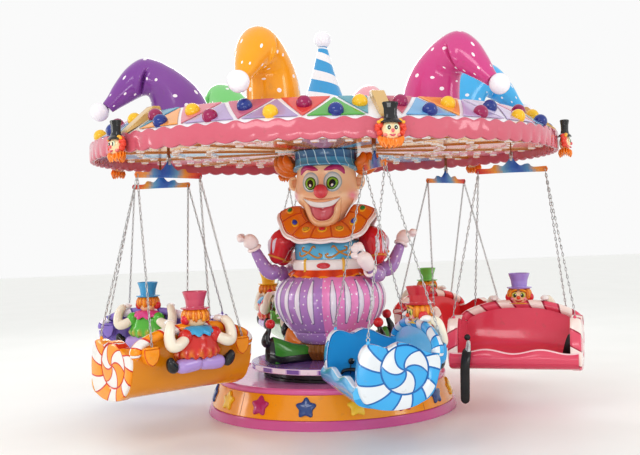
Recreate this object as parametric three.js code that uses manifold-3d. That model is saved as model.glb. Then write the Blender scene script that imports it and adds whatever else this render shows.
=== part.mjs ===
// Chair swing ride: a turning clown under a round canopy, with six two-seat gondolas hung on chains.
// Millimetres, +Z up, origin at the centre of the base on the ground.
// Gondola 1 is on the -Y side, and the others follow every 60 degrees towards +X.
import * as THREE from 'three';
import { mergeVertices } from 'three/addons/utils/BufferGeometryUtils.js';
import Module from 'manifold-3d';

const wasm = await Module();
wasm.setup();

const degree = Math.PI / 180;
const seats = 6;
const step = 360 / seats;
const gap = 0.3; // play between pieces that touch

// base
const foot = { radius: 1083, topRadius: 1062, top: 75 };
const skirt = { bottomRadius: 1050, topRadius: 985, top: 262 };
const deck = { rimRadius: 992, rimTop: 313, top: 290, lipRadius: 940, lipRise: 8, flatRadius: 620, edge: 12 };
const bearing = { radius: 600, top: 368 };

// turntable and figure
const disc = { radius: 706, bottom: bearing.top + gap, top: 420, chamfer: 6 };
const figureYaw = -21;
const shoe = {
  angle: 50, heel: 132, toe: 655, width: 164, sole: 500, instep: 565, toeTop: 668, tipShare: 0.28,
  toeShare: 0.75, pomX: 601, pomZ: 760, pomRadius: 42,
};
const trousers = { bottom: shoe.instep + gap, top: 1150, mastRadius: 90, pinch: 0.07, pinchHalf: 70 };
const trouserRows = [
  [262, trousers.bottom], [350, 670], [440, 790], [478, 920], [452, 1030], [340, trousers.top]];
const belt = {
  bottom: trousers.top + gap, peplumRadius: 368, peplumTop: 1194.3, radius: 318, top: 1296, edge: 8,
};
const jacket = { radius: 298, shoulderZ: 1430, neckRadius: 178, neckZ: 1500, top: 1569.7 };
const collar = {
  outer: 428, inner: 214, frontZ: 1462, sideRise: 236, innerZ: 1590, innerRise: 150, thick: 26,
};
const head = { bottom: jacket.top + gap, top: 2090, halfWidth: 284, depth: 338 };
const nose = { radius: 61, y: 346, z: 1868 };
const ear = { x: 262, z: 1955, halfX: 66, halfY: 52, halfZ: 72 };
const hat = { bottom: head.top + gap, halfWidth: 270, depth: 316, brim: 1.03, brimHeight: 60 };
const hair = { x: 332, z: 2128, halfX: 92, halfY: 120, halfZ: 98, sweep: 0.32 };
const hairRoot = { x: 300, z: 2062, halfX: 46, halfY: 66, halfZ: 40 };

// canopy
const rimFacets = 36;
const canopy = { radius: 2000, bottom: 2147, fasciaTop: 2278, wall: 22 };
const ceiling = { bottom: 2235, top: 2250, radius: canopy.radius - canopy.wall - gap };
const roof = { edge: 1992, edgeTop: 2292, shoulder: 1700, top: 2475 };
const rib = {
  width: 92, outer: 1990, outerTop: 2316, peakOuter: 1815, peakInner: 1755, peakTop: 2508, innerFoot: 1700,
  sunk: 20,
};
const coneHat = { radius: 258, tipRadius: 34, tipZ: 3158, ballRadius: 72, ballZ: 3211 };
const bentHat = { offset: 30, pomRadius: 78, pomX: 1908, pomZ: 2574 };
const rimHead = { x: canopy.radius + 38, flatness: 0.72, puffX: canopy.radius + 28, puffY: 80, puffZ: 2252 };

// hanger: lug, link, spreader plate and chains
const pivot = { radius: 1612, lugZ: 2135, plateZ: 2081 };
const lug = { width: 34, thick: 8, hole: 5.8 };
const pin = { radius: 5, sides: 6 };
const plate = { thick: 10, endReach: 276, endDrop: 88, endRadius: 23, crown: 18, crownFrom: 0.6 };
const clevis = { block: 34, blockHeight: 12, cheek: 6, cheekWidth: 22, reach: 12, play: 3 };
const chain = { radius: 9, frontX: 486, frontY: -212, rearX: 395, rearY: 332 };

// gondola, in its own spoke: x is outwards, y is backwards
const pod = { inner: 1085, outer: 2150, panel: 84, pan: 20 };
const podMiddle = (pod.inner + pod.outer) / 2;
const arch = { drop: 140, power: 2.6, from: 560, rise: 300, most: 1.4 };
const lip = { wave: 17, lobe: 440, lowZ: 455, highZ: 525, backY: 180, frontY: 270 };
const boss = { radius: 15, length: 90, frontTop: 822 };
const roll = { radius: 34, y: 282, z: 858, forward: 20 };
const pocket = { half: 66, thick: 110, y: 287, top: 745, sideZ: 690, tipZ: 612 };
const backrest = { y: 275, z: 620, lean: 0.116, rollFrom: 816 };

const paint = {
  rose: 0xd0548f, orange: 0xf0a01e, lilac: 0xe9b5e0, black: 0x1b1b1d, violet: 0x6b4a9e, green: 0x4e9a35,
  shoeOrange: 0xe8871e, purple: 0x9a6db8, blue: 0x5db4da, collar: 0xee7a1c, skin: 0xf3c79a, hat: 0x3f8fb5,
  red: 0xd31f2e, fascia: 0xd9738b, tan: 0xd9b67a, ceiling: 0xb9783a, steel: 0xb8bcc0, white: 0xf4f2f4,
};
const podPaint = [0x2390d0, 0xd9405f, 0xe93b3b, 0xe8c52a, 0x8e78c8, 0xe8930f];
const clownPaint = [0xc8323c, 0xa98fd0, 0x7fcf5a, 0xf0c020, 0x4aa8d8, 0xc85070];
const hatPaint = [0xcf4489, 0x46b4ea, 0xf4a6b0, 0x7fd07a, 0x7e4f9c, 0xf5a61d];

function painted(colour, roughness = 0.25, metalness = 0) {
  return new THREE.MeshStandardMaterial({ color: colour, roughness, metalness });
}

function named(name, geometry, material, parent) {
  const mesh = new THREE.Mesh(geometry, material);
  mesh.name = name;
  parent.add(mesh);
  return mesh;
}

// A group whose x axis points outwards at an angle counted from -Y towards +X.
function spoke(angle, parent) {
  const group = new THREE.Group();
  group.rotation.z = (angle - 90) * degree;
  parent.add(group);
  return group;
}

function toManifold(geometry) {
  const bare = geometry.clone();
  bare.deleteAttribute('normal');
  bare.deleteAttribute('uv');
  const merged = mergeVertices(bare, 1e-3);
  const index = merged.index.array;
  const triangles = [];
  for (let i = 0; i < index.length; i += 3) {
    const [a, b, c] = [index[i], index[i + 1], index[i + 2]];
    if (a !== b && b !== c && c !== a) triangles.push(a, b, c);
  }
  const vertProperties = new Float32Array(merged.attributes.position.array);
  const triVerts = new Uint32Array(triangles);
  return new wasm.Manifold(new wasm.Mesh({ numProp: 3, vertProperties, triVerts }));
}

function toGeometry(manifold) {
  const mesh = manifold.getMesh();
  const geometry = new THREE.BufferGeometry();
  geometry.setAttribute('position', new THREE.BufferAttribute(new Float32Array(mesh.vertProperties), 3));
  geometry.setIndex(Array.from(mesh.triVerts));
  geometry.computeVertexNormals();
  return geometry;
}

function join(...geometries) {
  return toGeometry(geometries.map(toManifold).reduce((sum, next) => sum.add(next)));
}

function cut(geometry, ...tools) {
  return toGeometry(tools.map(toManifold).reduce((rest, tool) => rest.subtract(tool), toManifold(geometry)));
}

// Moves every vertex by a rule that changes the vector in place.
function shaped(geometry, rule) {
  const position = geometry.attributes.position;
  const v = new THREE.Vector3();
  for (let i = 0; i < position.count; i += 1) {
    rule(v.fromBufferAttribute(position, i));
    position.setXYZ(i, v.x, v.y, v.z);
  }
  return geometry;
}

// Turns a profile of [radius, height] pairs round the z axis, from the bottom up its outer side.
function turned(profile, segments = 30) {
  const points = profile.map(([r, z]) => new THREE.Vector2(r, z));
  return new THREE.LatheGeometry(points, segments).rotateX(Math.PI / 2);
}

function ball(rx, ry, rz, x, y, z, across = 8, down = 5) {
  return new THREE.SphereGeometry(1, across, down).rotateX(Math.PI / 2).scale(rx, ry, rz).translate(x, y, z);
}

// An upright tapered round bar between two heights.
function bar(bottomRadius, topRadius, bottom, top, sides = 8) {
  const height = top - bottom;
  const geometry = new THREE.CylinderGeometry(topRadius, bottomRadius, height, sides);
  return geometry.rotateX(Math.PI / 2).translate(0, 0, bottom + height / 2);
}

// A tapered round bar from one point to another.
function limb(from, to, fromRadius, toRadius, sides = 6) {
  const a = new THREE.Vector3(...from);
  const b = new THREE.Vector3(...to);
  const along = b.clone().sub(a);
  const upright = new THREE.Vector3(0, 1, 0);
  const turn = new THREE.Quaternion().setFromUnitVectors(upright, along.clone().normalize());
  const geometry = new THREE.CylinderGeometry(toRadius, fromRadius, along.length(), sides);
  const middle = a.add(b).multiplyScalar(0.5);
  return geometry.applyQuaternion(turn).translate(middle.x, middle.y, middle.z);
}

// A closed body through rows of [x, y, z, radius]. Its sections stand square to the row of middles.
function throughRows(rows, sides, flatness = 1) {
  const profile = [[0, 0], ...rows.map((row, i) => [1, i]), [0, rows.length - 1]];
  const middles = rows.map(([x, y, z]) => new THREE.Vector3(x, y, z));
  return shaped(turned(profile, sides), (v) => {
    const i = Math.round(v.z);
    const next = middles[Math.min(i + 1, rows.length - 1)];
    const along = next.clone().sub(middles[Math.max(i - 1, 0)]).normalize();
    if (i === 0) along.copy(middles[1]).sub(middles[0]).normalize();
    const out = new THREE.Vector3(0, 1, 0).cross(along).normalize();
    const widthways = along.clone().cross(out);
    const radius = rows[i][3];
    const [x, y] = [v.x * radius, v.y * radius * flatness];
    v.copy(middles[i]).addScaledVector(out, x).addScaledVector(widthways, y);
  });
}

// The same solid on the other side of the plane x = 0.
function mirrored(geometry) {
  const copy = geometry.scale(-1, 1, 1);
  copy.index.array.reverse();
  return copy;
}

function shapeOf(points) {
  return new THREE.Shape(points.map(([x, y]) => new THREE.Vector2(x, y)));
}

function smoothOutline(points, count) {
  const curve = new THREE.SplineCurve([...points, points[0]].map(([x, y]) => new THREE.Vector2(x, y)));
  return curve.getPoints(count).slice(0, -1).map((p) => [p.x, p.y]);
}

// A flat plate drawn in x and z, with its thickness along y about y = 0.
function uprightPlate(shape, thick) {
  const geometry = new THREE.ExtrudeGeometry(shape, { depth: thick, bevelEnabled: false, curveSegments: 3 });
  return geometry.rotateX(Math.PI / 2).translate(0, thick / 2, 0);
}

// A section drawn in y and z and run along x.
function across(shape, from, to, steps = 1) {
  const depth = to - from;
  const geometry = new THREE.ExtrudeGeometry(shape, { depth, steps, bevelEnabled: false, curveSegments: 3 });
  const axes = new THREE.Matrix4().makeBasis(
    new THREE.Vector3(0, 1, 0), new THREE.Vector3(0, 0, 1), new THREE.Vector3(1, 0, 0));
  return geometry.applyMatrix4(axes).translate(from, 0, 0);
}

// base, fixed to the ground by its weight
function buildBase(parent) {
  const footRing = turned([[0, 0], [foot.radius, 0], [foot.topRadius, foot.top], [0, foot.top]]);
  named('base_foot_ring', footRing, painted(paint.rose), parent);
  const cone = turned([[0, foot.top], [skirt.bottomRadius, foot.top], [skirt.topRadius, skirt.top],
    [0, skirt.top]]);
  named('base_skirt', cone, painted(paint.orange), parent);
  const d = deck;
  const top = turned([[0, skirt.top], [d.rimRadius - d.edge, skirt.top], [d.rimRadius, skirt.top + d.edge],
    [d.rimRadius, d.rimTop - d.edge], [d.rimRadius - d.edge, d.rimTop], [d.lipRadius, d.top + d.lipRise],
    [d.flatRadius, d.top], [0, d.top]]);
  named('base_top_deck', top, painted(paint.lilac), parent);
  const ring = turned([[0, d.top], [bearing.radius, d.top], [bearing.radius, bearing.top], [0, bearing.top]]);
  named('slewing_bearing', ring, painted(paint.black, 0.6), parent);
}

// The side view of a shoe in x and z: up from the heel's back, along the sole, round the curled toe and back.
const shoeSide = [
  [shoe.heel, 480], [144, 424], [300, 421], [480, 421], [575, 434], [637, shoe.sole], [shoe.toe, 590],
  [628, 670], [612, 728], [588, 726], [596, shoe.toeTop], [560, 654], [470, 628], [380, 574], [300, 562],
  [200, 562], [140, 549]];

// A long clown shoe pointing along x: thick sole, upper, toe curled up to a pompom.
function shoeForm() {
  const bottom = disc.top + gap;
  const body = uprightPlate(shapeOf(smoothOutline(shoeSide, 20)), shoe.width);
  // the sides draw in towards the curled tip and the toe
  shaped(body, (v) => {
    const rise = THREE.MathUtils.smoothstep(v.z, shoe.instep, shoe.pomZ);
    const tip = THREE.MathUtils.smoothstep(v.x, shoe.pomX - shoe.pomRadius, shoe.toe + shoe.pomRadius);
    v.y *= THREE.MathUtils.lerp(1, shoe.tipShare, rise) * THREE.MathUtils.lerp(1, shoe.toeShare, tip);
    v.z = Math.max(v.z, bottom);
  });
  const pom = ball(shoe.pomRadius, shoe.pomRadius, shoe.pomRadius, shoe.pomX, 0, shoe.pomZ, 6, 5);
  return join(body, pom);
}

function trousersForm() {
  const t = trousers;
  const form = turned([[0, disc.top + gap], [t.mastRadius, disc.top + gap], [t.mastRadius, t.bottom],
    ...trouserRows, [0, t.top]], 20);
  // two legs: a groove runs down the middle of the front and of the back
  return shaped(form, (v) => {
    const radius = Math.hypot(v.x, v.y);
    if (radius <= t.mastRadius + 1 || v.z > t.top - 1) return;
    const pinch = 1 - t.pinch * Math.exp(-((v.x / t.pinchHalf) ** 2));
    v.x *= pinch;
    v.y *= pinch;
  });
}

function jacketForm(extra = 0) {
  const j = jacket;
  return turned([[0, belt.bottom], [belt.peplumRadius - belt.edge, belt.bottom],
    [belt.peplumRadius, belt.bottom + belt.edge], [belt.radius + belt.edge, belt.peplumTop],
    [belt.radius, belt.peplumTop + belt.edge], [belt.radius, belt.top],
    [j.radius + extra, belt.top + belt.edge], [j.radius + extra, j.shoulderZ],
    [j.neckRadius + extra, j.neckZ + extra],
    [j.neckRadius + extra, j.top], [0, j.top]], 16);
}

// The collar is a ring that dips in front and behind and rises to a point at each side.
function collarForm() {
  const c = collar;
  const section = [[c.inner, 0], [c.outer, 0], [c.outer, c.thick], [c.inner, c.thick], [c.inner, 0]];
  return shaped(turned(section, 28), (v) => {
    const radius = Math.hypot(v.x, v.y);
    const outwards = (radius - c.inner) / (c.outer - c.inner);
    const side = Math.abs(v.x) / radius;
    const innerZ = c.innerZ + c.innerRise * side ** 4;
    const outerZ = c.frontZ + c.sideRise * side ** 5;
    v.z += innerZ + (outerZ - innerZ) * outwards - c.thick;
  });
}

// Half width and half depth of the two-faced head at each height.
const headRows = [
  [head.bottom, 112, 236], [1610, 178, 312], [1690, 244, 334], [1790, head.halfWidth, head.depth],
  [1860, 286, 330], [1950, 268, 308], [head.top, 254, 290]];

function headForm(extra = 0) {
  const profile = [[0, headRows[0][0]], ...headRows.map(([z]) => [1, z]), [0, head.top]];
  return shaped(turned(profile, 16), (v) => {
    if (Math.hypot(v.x, v.y) < 0.5) return;
    const row = headRows.find(([z]) => Math.abs(z - v.z) < 0.1);
    v.x *= row[1] + extra;
    v.y *= row[2] + extra;
  });
}

function earForm(side, extra = 0) {
  return ball(ear.halfX + extra, ear.halfY + extra, ear.halfZ + extra, ear.x * side, 0, ear.z, 7, 5);
}

function hatForm(extra = 0) {
  const form = turned([[0, hat.bottom], [hat.brim, hat.bottom], [1, hat.bottom + hat.brimHeight],
    [1, ceiling.bottom - gap], [0, ceiling.bottom - gap]], 16);
  return form.scale(hat.halfWidth + extra, hat.depth + extra, 1);
}

function hairForm(side) {
  const puff = shaped(ball(hair.halfX, hair.halfY, hair.halfZ, 0, 0, 0, 8, 6), (v) => {
    v.x += hair.sweep * (v.z + hair.halfZ); // swept up and outwards
  }).translate(hair.x, 0, hair.z);
  const root = hairRoot;
  const lock = join(puff, ball(root.halfX, root.halfY, root.halfZ, root.x, 0, root.z, 6, 4));
  return side < 0 ? mirrored(lock) : lock;
}

// The rows of an arm on the +x side of a clown that faces -y: shoulder puff to elbow, then elbow to hand.
const armRows = {
  raised: {
    upper: [[280, -52, 1462, 88], [398, -64, 1448, 108], [446, -70, 1330, 86], [498, -84, 1180, 66]],
    lower: [[480, -66, 1172, 52], [520, -88, 1188, 64], [572, -140, 1290, 56], [620, -190, 1390, 40],
      [656, -214, 1452, 56], [690, -226, 1494, 34]],
    fingers: [[744, -236, 1514], [606, -230, 1520]],
  },
  bent: {
    upper: [[280, -52, 1462, 88], [398, -64, 1448, 108], [436, -104, 1310, 84], [452, -150, 1140, 66]],
    lower: [[458, -120, 1128, 52], [448, -176, 1130, 64], [420, -290, 1166, 54], [386, -352, 1210, 40],
      [344, -396, 1272, 58], [302, -424, 1330, 34]],
    fingers: [[204, -452, 1368], [318, -436, 1398]],
  },
};

const finger = { root: 34, tip: 18, sides: 4 };

function armParts(rows) {
  const palm = rows.lower[rows.lower.length - 2].slice(0, 3);
  const fingers = rows.fingers.map((tip) => limb(palm, tip, finger.root, finger.tip, finger.sides));
  return [throughRows(rows.upper, 6), throughRows(rows.lower, 6), ...fingers];
}

// The arms on one side of the body: one clown's raised right arm and the other's bent left arm.
function armsForm() {
  const bent = armParts(armRows.bent).map((part) => part.rotateZ(Math.PI));
  const raised = armParts(armRows.raised).map((part) => mirrored(part));
  return cut(join(...raised, ...bent), jacketForm(gap));
}

function buildFigure(parent) {
  const figure = new THREE.Group();
  figure.rotation.z = figureYaw * degree;
  parent.add(figure);
  const c = disc.chamfer;
  const table = turned([[0, disc.bottom], [disc.radius - c, disc.bottom], [disc.radius, disc.bottom + c],
    [disc.radius, disc.top - c], [disc.radius - c, disc.top], [0, disc.top]], 32);
  named('turntable_disc', table, painted(paint.violet), parent);
  named('trousers', trousersForm(), painted(paint.purple), figure);
  named('jacket_and_belt', jacketForm(), painted(paint.blue), figure);
  const n = nose;
  const noses = [-1, 1].map((side) => ball(n.radius, n.radius, n.radius, 0, n.y * side, n.z, 7, 5));
  const headRoom = headForm(gap);
  named('two_faced_head', join(headForm(), ...noses, earForm(1), earForm(-1)), painted(paint.skin), figure);
  named('collar', cut(collarForm(), headRoom, jacketForm(gap)), painted(paint.collar), figure);
  named('figure_hat', hatForm(), painted(paint.hat), figure);
  [[-1, 'right'], [1, 'left']].forEach(([side, word]) => {
    const puff = cut(hairForm(side), headRoom, hatForm(gap * 2), earForm(side, gap));
    named(`hair_${word}`, puff, painted(paint.shoeOrange), figure);
  });
  ['right', 'left'].forEach((word, turn) => {
    named(`arms_${word}`, armsForm().rotateZ(turn * Math.PI), painted(paint.red), figure);
  });
  ['front', 'back'].forEach((word, turn) => {
    const half = new THREE.Group();
    half.rotation.z = turn * Math.PI;
    figure.add(half);
    [[-1, 'right', paint.green], [1, 'left', paint.shoeOrange]].forEach(([side, foot, colour]) => {
      named(`shoe_${word}_${foot}`, shoeForm(), painted(colour), spoke(side * shoe.angle, half));
    });
  });
}

// A lug plate under the ceiling, square to the spoke, with its hole along the spoke.
function lugForm() {
  const outline = new THREE.Shape();
  outline.moveTo(-lug.width / 2, ceiling.bottom + 1);
  outline.lineTo(-lug.width / 2 + 2, pivot.lugZ);
  outline.absarc(0, pivot.lugZ, lug.width / 2 - 2, Math.PI, 2 * Math.PI, false);
  outline.lineTo(lug.width / 2, ceiling.bottom + 1);
  const hole = new THREE.Path();
  hole.absarc(0, pivot.lugZ, lug.hole, 0, 2 * Math.PI, true);
  outline.holes.push(hole);
  return across(outline, pivot.radius - lug.thick / 2, pivot.radius + lug.thick / 2);
}

function everySpoke(form, offset = 0) {
  return Array.from({ length: seats }, (_, k) => form().rotateZ((k * step + offset - 90) * degree));
}

function fasciaSolid(inner, outer) {
  return turned([[inner, canopy.bottom], [outer, canopy.bottom], [outer, canopy.fasciaTop],
    [inner, canopy.fasciaTop], [inner, canopy.bottom]], rimFacets);
}

// A rib stands on the roof and rises from the rim to a blunt raised end.
function ribForm() {
  const side = shapeOf([[rib.outer, roof.edgeTop - rib.sunk / 2], [rib.outer, rib.outerTop],
    [rib.peakOuter, rib.peakTop], [rib.peakInner, rib.peakTop], [rib.innerFoot, roof.top - rib.sunk]]);
  return uprightPlate(side, rib.width);
}

function buildCanopy(parent) {
  const slab = turned([[0, ceiling.bottom], [ceiling.radius, ceiling.bottom], [ceiling.radius, ceiling.top],
    [0, ceiling.top]], rimFacets);
  named('ceiling', join(slab, ...everySpoke(lugForm)), painted(paint.ceiling), parent);
  const band = fasciaSolid(canopy.radius - canopy.wall, canopy.radius);
  named('fascia', band, painted(paint.fascia, 0.15), parent);
  const r = roof;
  const cover = turned([[0, ceiling.top], [ceiling.radius - gap, ceiling.top],
    [ceiling.radius - gap, canopy.fasciaTop + gap], [r.edge, canopy.fasciaTop + gap], [r.edge, r.edgeTop],
    [r.shoulder, r.top], [0, r.top]], rimFacets);
  named('canopy_roof', join(cover, ...everySpoke(ribForm)), painted(paint.white), parent);
}

// A small clown on the rim, flat behind: pleated ruff, face, top hat and a hair puff at each ear.
const rimHeadRows = [
  [97, 2098], [97, 2114], [36, 2176], [60, 2222], [46, 2298], [66, 2299], [64, 2314], [45, 2315], [52, 2418]];
const rimPuff = [34, 38, 46];

function rimHeadForm() {
  const h = rimHead;
  const back = canopy.radius + gap;
  const profile = [[0, rimHeadRows[0][1]], ...rimHeadRows, [0, rimHeadRows[rimHeadRows.length - 1][1]]];
  const figure = turned(profile, 8).scale(h.flatness, 1, 1).translate(h.x, 0, 0);
  const puffs = [-1, 1].map((side) => ball(...rimPuff, h.puffX, h.puffY * side, h.puffZ, 5, 4));
  return join(...[figure, ...puffs].map((piece) => shaped(piece, (v) => { v.x = Math.max(v.x, back); })));
}

function buildRimHeads(parent) {
  const form = rimHeadForm();
  for (let k = 0; k < seats; k += 1) {
    named(`rim_head_${k + 1}`, form, painted(paint.tan), spoke(k * step, parent));
  }
}

// A tall hat that stands on the roof, folds outwards and ends in a pompom above the rim. Every section of it
// runs from a point under the fold to one on its outer side, both in x and z, and has a half width.
const bentHatSections = [
  [[1478, roof.top + gap], [985, roof.top + gap], 200], [[1484, 2600], [1020, 2640], 192],
  [[1492, 2668], [1112, 2790], 180], [[1504, 2700], [1262, 2916], 168], [[1518, 2712], [1420, 3000], 158],
  [[1540, 2712], [1556, 3020], 148], [[1590, 2692], [1680, 2940], 128], [[1664, 2652], [1782, 2806], 98],
  [[1738, 2612], [1840, 2704], 72], [[1802, 2574], [1880, 2648], 50]];

function bentHatForm() {
  const h = bentHat;
  const last = bentHatSections.length - 1;
  const profile = [[0, 0], ...bentHatSections.map((section, i) => [1, i]), [0, last]];
  const folded = shaped(turned(profile, 10), (v) => {
    const [inner, outer, half] = bentHatSections[Math.round(v.z)];
    const share = (1 - v.x) / 2;
    v.set(inner[0] + (outer[0] - inner[0]) * share, v.y * half, inner[1] + (outer[1] - inner[1]) * share);
  });
  return join(folded, ball(h.pomRadius, h.pomRadius, h.pomRadius, h.pomX, 0, h.pomZ, 6, 5));
}

function buildRoofHats(parent) {
  for (let k = 0; k < seats; k += 1) {
    const place = spoke(k * step + bentHat.offset, parent);
    named(`bent_hat_${k + 1}`, bentHatForm(), painted(hatPaint[k]), place);
  }
  const c = coneHat;
  const cone = bar(c.radius, c.tipRadius, roof.top + gap, c.tipZ, 16);
  const top = join(cone, ball(c.ballRadius, c.ballRadius, c.ballRadius, 0, 0, c.ballZ, 10, 7));
  named('centre_cone_hat', top, painted(paint.blue), parent);
}

// A double clevis: its upper pin lies along the spoke, its lower pin across it.
function linkForm() {
  const c = clevis;
  const middleZ = (pivot.lugZ + pivot.plateZ) / 2;
  const block = new THREE.BoxGeometry(c.block, c.block, c.blockHeight).translate(0, 0, middleZ);
  const upperX = lug.thick / 2 + c.play + c.cheek / 2;
  const lowerY = plate.thick / 2 + c.play + c.cheek / 2;
  const upperZ = (middleZ + pivot.lugZ + c.reach) / 2;
  const lowerZ = (middleZ + pivot.plateZ - c.reach) / 2;
  const upper = new THREE.BoxGeometry(c.cheek, c.cheekWidth, (upperZ - middleZ) * 2);
  const lower = new THREE.BoxGeometry(c.cheekWidth, c.cheek, (middleZ - lowerZ) * 2);
  const upperPin = new THREE.CylinderGeometry(pin.radius, pin.radius, upperX * 2, pin.sides);
  const lowerPin = new THREE.CylinderGeometry(pin.radius, pin.radius, lowerY * 2, pin.sides);
  const form = join(
    block, upper.clone().translate(upperX, 0, upperZ), upper.clone().translate(-upperX, 0, upperZ),
    lower.clone().translate(0, lowerY, lowerZ), lower.clone().translate(0, -lowerY, lowerZ),
    upperPin.rotateZ(Math.PI / 2).translate(0, 0, pivot.lugZ), lowerPin.translate(0, 0, pivot.plateZ));
  return form.translate(pivot.radius, 0, 0);
}

// Half of the spreader plate's upper edge, from the peak outwards, about the plate's own pin.
const plateEdge = [[30, -12], [72, -50], [112, -40], [144, -40], [176, -66]];

function plateForm() {
  const p = plate;
  const outline = new THREE.Shape();
  outline.moveTo(-p.endReach, -p.endDrop - p.endRadius);
  outline.lineTo(p.endReach, -p.endDrop - p.endRadius);
  outline.absarc(p.endReach, -p.endDrop, p.endRadius, -Math.PI / 2, Math.PI / 2, false);
  [...plateEdge].reverse().forEach(([x, z]) => outline.lineTo(x, z));
  outline.absarc(0, 0, p.crown, p.crownFrom, Math.PI - p.crownFrom, false);
  plateEdge.forEach(([x, z]) => outline.lineTo(-x, z));
  outline.absarc(-p.endReach, -p.endDrop, p.endRadius, Math.PI / 2, 1.5 * Math.PI, false);
  const hole = new THREE.Path();
  hole.absarc(0, 0, lug.hole, 0, 2 * Math.PI, true);
  outline.holes.push(hole);
  return uprightPlate(outline, p.thick).translate(pivot.radius, 0, pivot.plateZ);
}

// A taut chain as a four-sided bar with level ends.
function chainForm(x0, x1, y1, bottom) {
  const top = pivot.plateZ - plate.endDrop;
  const length = top - bottom;
  return shaped(bar(chain.radius, chain.radius, bottom, top, 4), (v) => {
    const down = (top - v.z) / length;
    v.x += x0 + (x1 - x0) * down;
    v.y += y1 * down;
  });
}

function hangerForm() {
  const chains = [-1, 1].flatMap((side) => {
    const x0 = pivot.radius + side * plate.endReach;
    const ends = [[chain.frontX, chain.frontY, boss.frontTop], [chain.rearX, chain.rearY, pocket.top]];
    return ends.map(([x, y, bottom]) => chainForm(x0, podMiddle + side * x, y, bottom + gap));
  });
  return join(plateForm(), ...chains);
}

// How far the backrest and its roll come down from the middle of the seat towards its ends.
function archDrop(x) {
  return arch.drop * (Math.abs(x - podMiddle) / (pod.outer - podMiddle)) ** arch.power;
}

// The curve of the pan in y and z: lip, bottom, backrest.
function panSection() {
  const outer = [
    [-305, 528], [-332, 470], [-290, 392], [-120, 360], [90, 372], [215, 440], [268, 600], [300, 862]];
  const inner = [[264, 862], [230, 640], [170, 505], [80, 446], [-100, 432], [-225, 452], [-278, 528]];
  const side = new THREE.SplineCurve(outer.map(([y, z]) => new THREE.Vector2(y, z)));
  const back = new THREE.SplineCurve(inner.map(([y, z]) => new THREE.Vector2(y, z)));
  return shapeOf([...side.getPoints(6), ...back.getPoints(5)].map((p) => [p.x, p.y]));
}

function bentToPod(geometry) {
  return shaped(geometry, (v) => {
    const high = THREE.MathUtils.clamp((v.z - arch.from) / arch.rise, 0, arch.most);
    if (v.y > 0) v.z -= archDrop(v.x) * high;
    const rising = THREE.MathUtils.smoothstep(v.z, lip.lowZ, lip.highZ);
    const front = THREE.MathUtils.smoothstep(-v.y, lip.backY, lip.frontY);
    v.z -= lip.wave * rising * front * Math.cos(((v.x - podMiddle) / lip.lobe) * 2 * Math.PI);
  });
}

function panForm() {
  return bentToPod(across(panSection(), pod.inner + pod.pan, pod.outer - pod.pan, 4));
}

function rollForm() {
  const reach = (pod.outer - pod.inner) / 2 - pod.pan;
  const points = Array.from({ length: 7 }, (_, i) => {
    const x = podMiddle + reach * (i / 3 - 1);
    return new THREE.Vector3(x, roll.y - roll.forward * archDrop(x) / arch.drop, roll.z - archDrop(x));
  });
  const circle = new THREE.Shape();
  circle.absarc(0, 0, roll.radius, 0, 2 * Math.PI, false);
  return new THREE.ExtrudeGeometry(circle,
    { steps: 4, curveSegments: 3, bevelEnabled: false, extrudePath: new THREE.CatmullRomCurve3(points) });
}

// The end wall of a gondola: a swirl of sweet with two humps on top, run back to the end of the backrest.
function endPanelForm(from, to) {
  const outline = smoothOutline([[-290, 460], [-236, 386], [-120, 350], [20, 350], [134, 386], [216, 464],
    [266, 580], [290, 690], [288, 736], [244, 752], [186, 718], [126, 742], [66, 775], [-10, 790], [-92, 762],
    [-150, 778], [-212, 788], [-262, 750], [-292, 660], [-302, 560]], 18);
  return across(shapeOf(outline), from, to);
}

// A rear lug: a shield-shaped pocket behind the backrest, where the rear chain is made fast.
function lugPocketForm(x) {
  const p = pocket;
  const shield = shapeOf([[x - p.half, p.top], [x - p.half, p.sideZ], [x, p.tipZ],
    [x + p.half, p.sideZ], [x + p.half, p.top]]);
  return uprightPlate(shield, p.thick).translate(0, p.y, 0);
}

function shellForm() {
  const ends = [-1, 1].flatMap((side) => {
    const frontBoss = bar(boss.radius, boss.radius, boss.frontTop - boss.length, boss.frontTop, 6);
    frontBoss.translate(podMiddle + side * chain.frontX, chain.frontY, 0);
    return [lugPocketForm(podMiddle + side * chain.rearX), frontBoss];
  });
  return join(panForm(), rollForm(), endPanelForm(pod.inner, pod.inner + pod.panel),
    endPanelForm(pod.outer - pod.panel, pod.outer), ...ends);
}

// A clown who hugs the backrest from behind and looks over it: skirt, shirt, ruff, head, brim and hat.
const backClown = {
  y: 299, flatness: 0.62, neckZ: 890,
  rows: [[70, 588], [164, 672], [132, 814], [150, 820], [78, 886], [92, 940], [72, 992], [110, 996],
    [76, 1016], [92, 1122]],
  leg: [[0, 342, 604, 56], [250, 346, 588, 52]],
  arm: [[96, 366, 808, 46], [200, 378, 764, 46], [266, 372, 764, 42], [264, 364, 846, 37],
    [222, 302, 924, 34]],
};

// How far back the backrest, and the roll on it, reach at a height.
function backOfBackrest(z) {
  if (z > backrest.rollFrom) return roll.y + roll.radius + gap;
  return backrest.y + (z - backrest.z) * backrest.lean;
}

function backClownForm() {
  const c = backClown;
  const profile = [[0, c.rows[0][1]], ...c.rows, [0, c.rows[c.rows.length - 1][1]]];
  const body = shaped(turned(profile, 8), (v) => {
    v.y = v.z < c.neckZ ? Math.max(c.y + v.y * c.flatness, backOfBackrest(v.z)) : c.y + v.y;
  });
  const limbs = [c.leg, c.arm].map((rows) => throughRows(rows, 4));
  const otherLimbs = [c.leg, c.arm].map((rows) => mirrored(throughRows(rows, 4)));
  return join(body, ...limbs, ...otherLimbs).translate(podMiddle, 0, 0);
}

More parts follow.
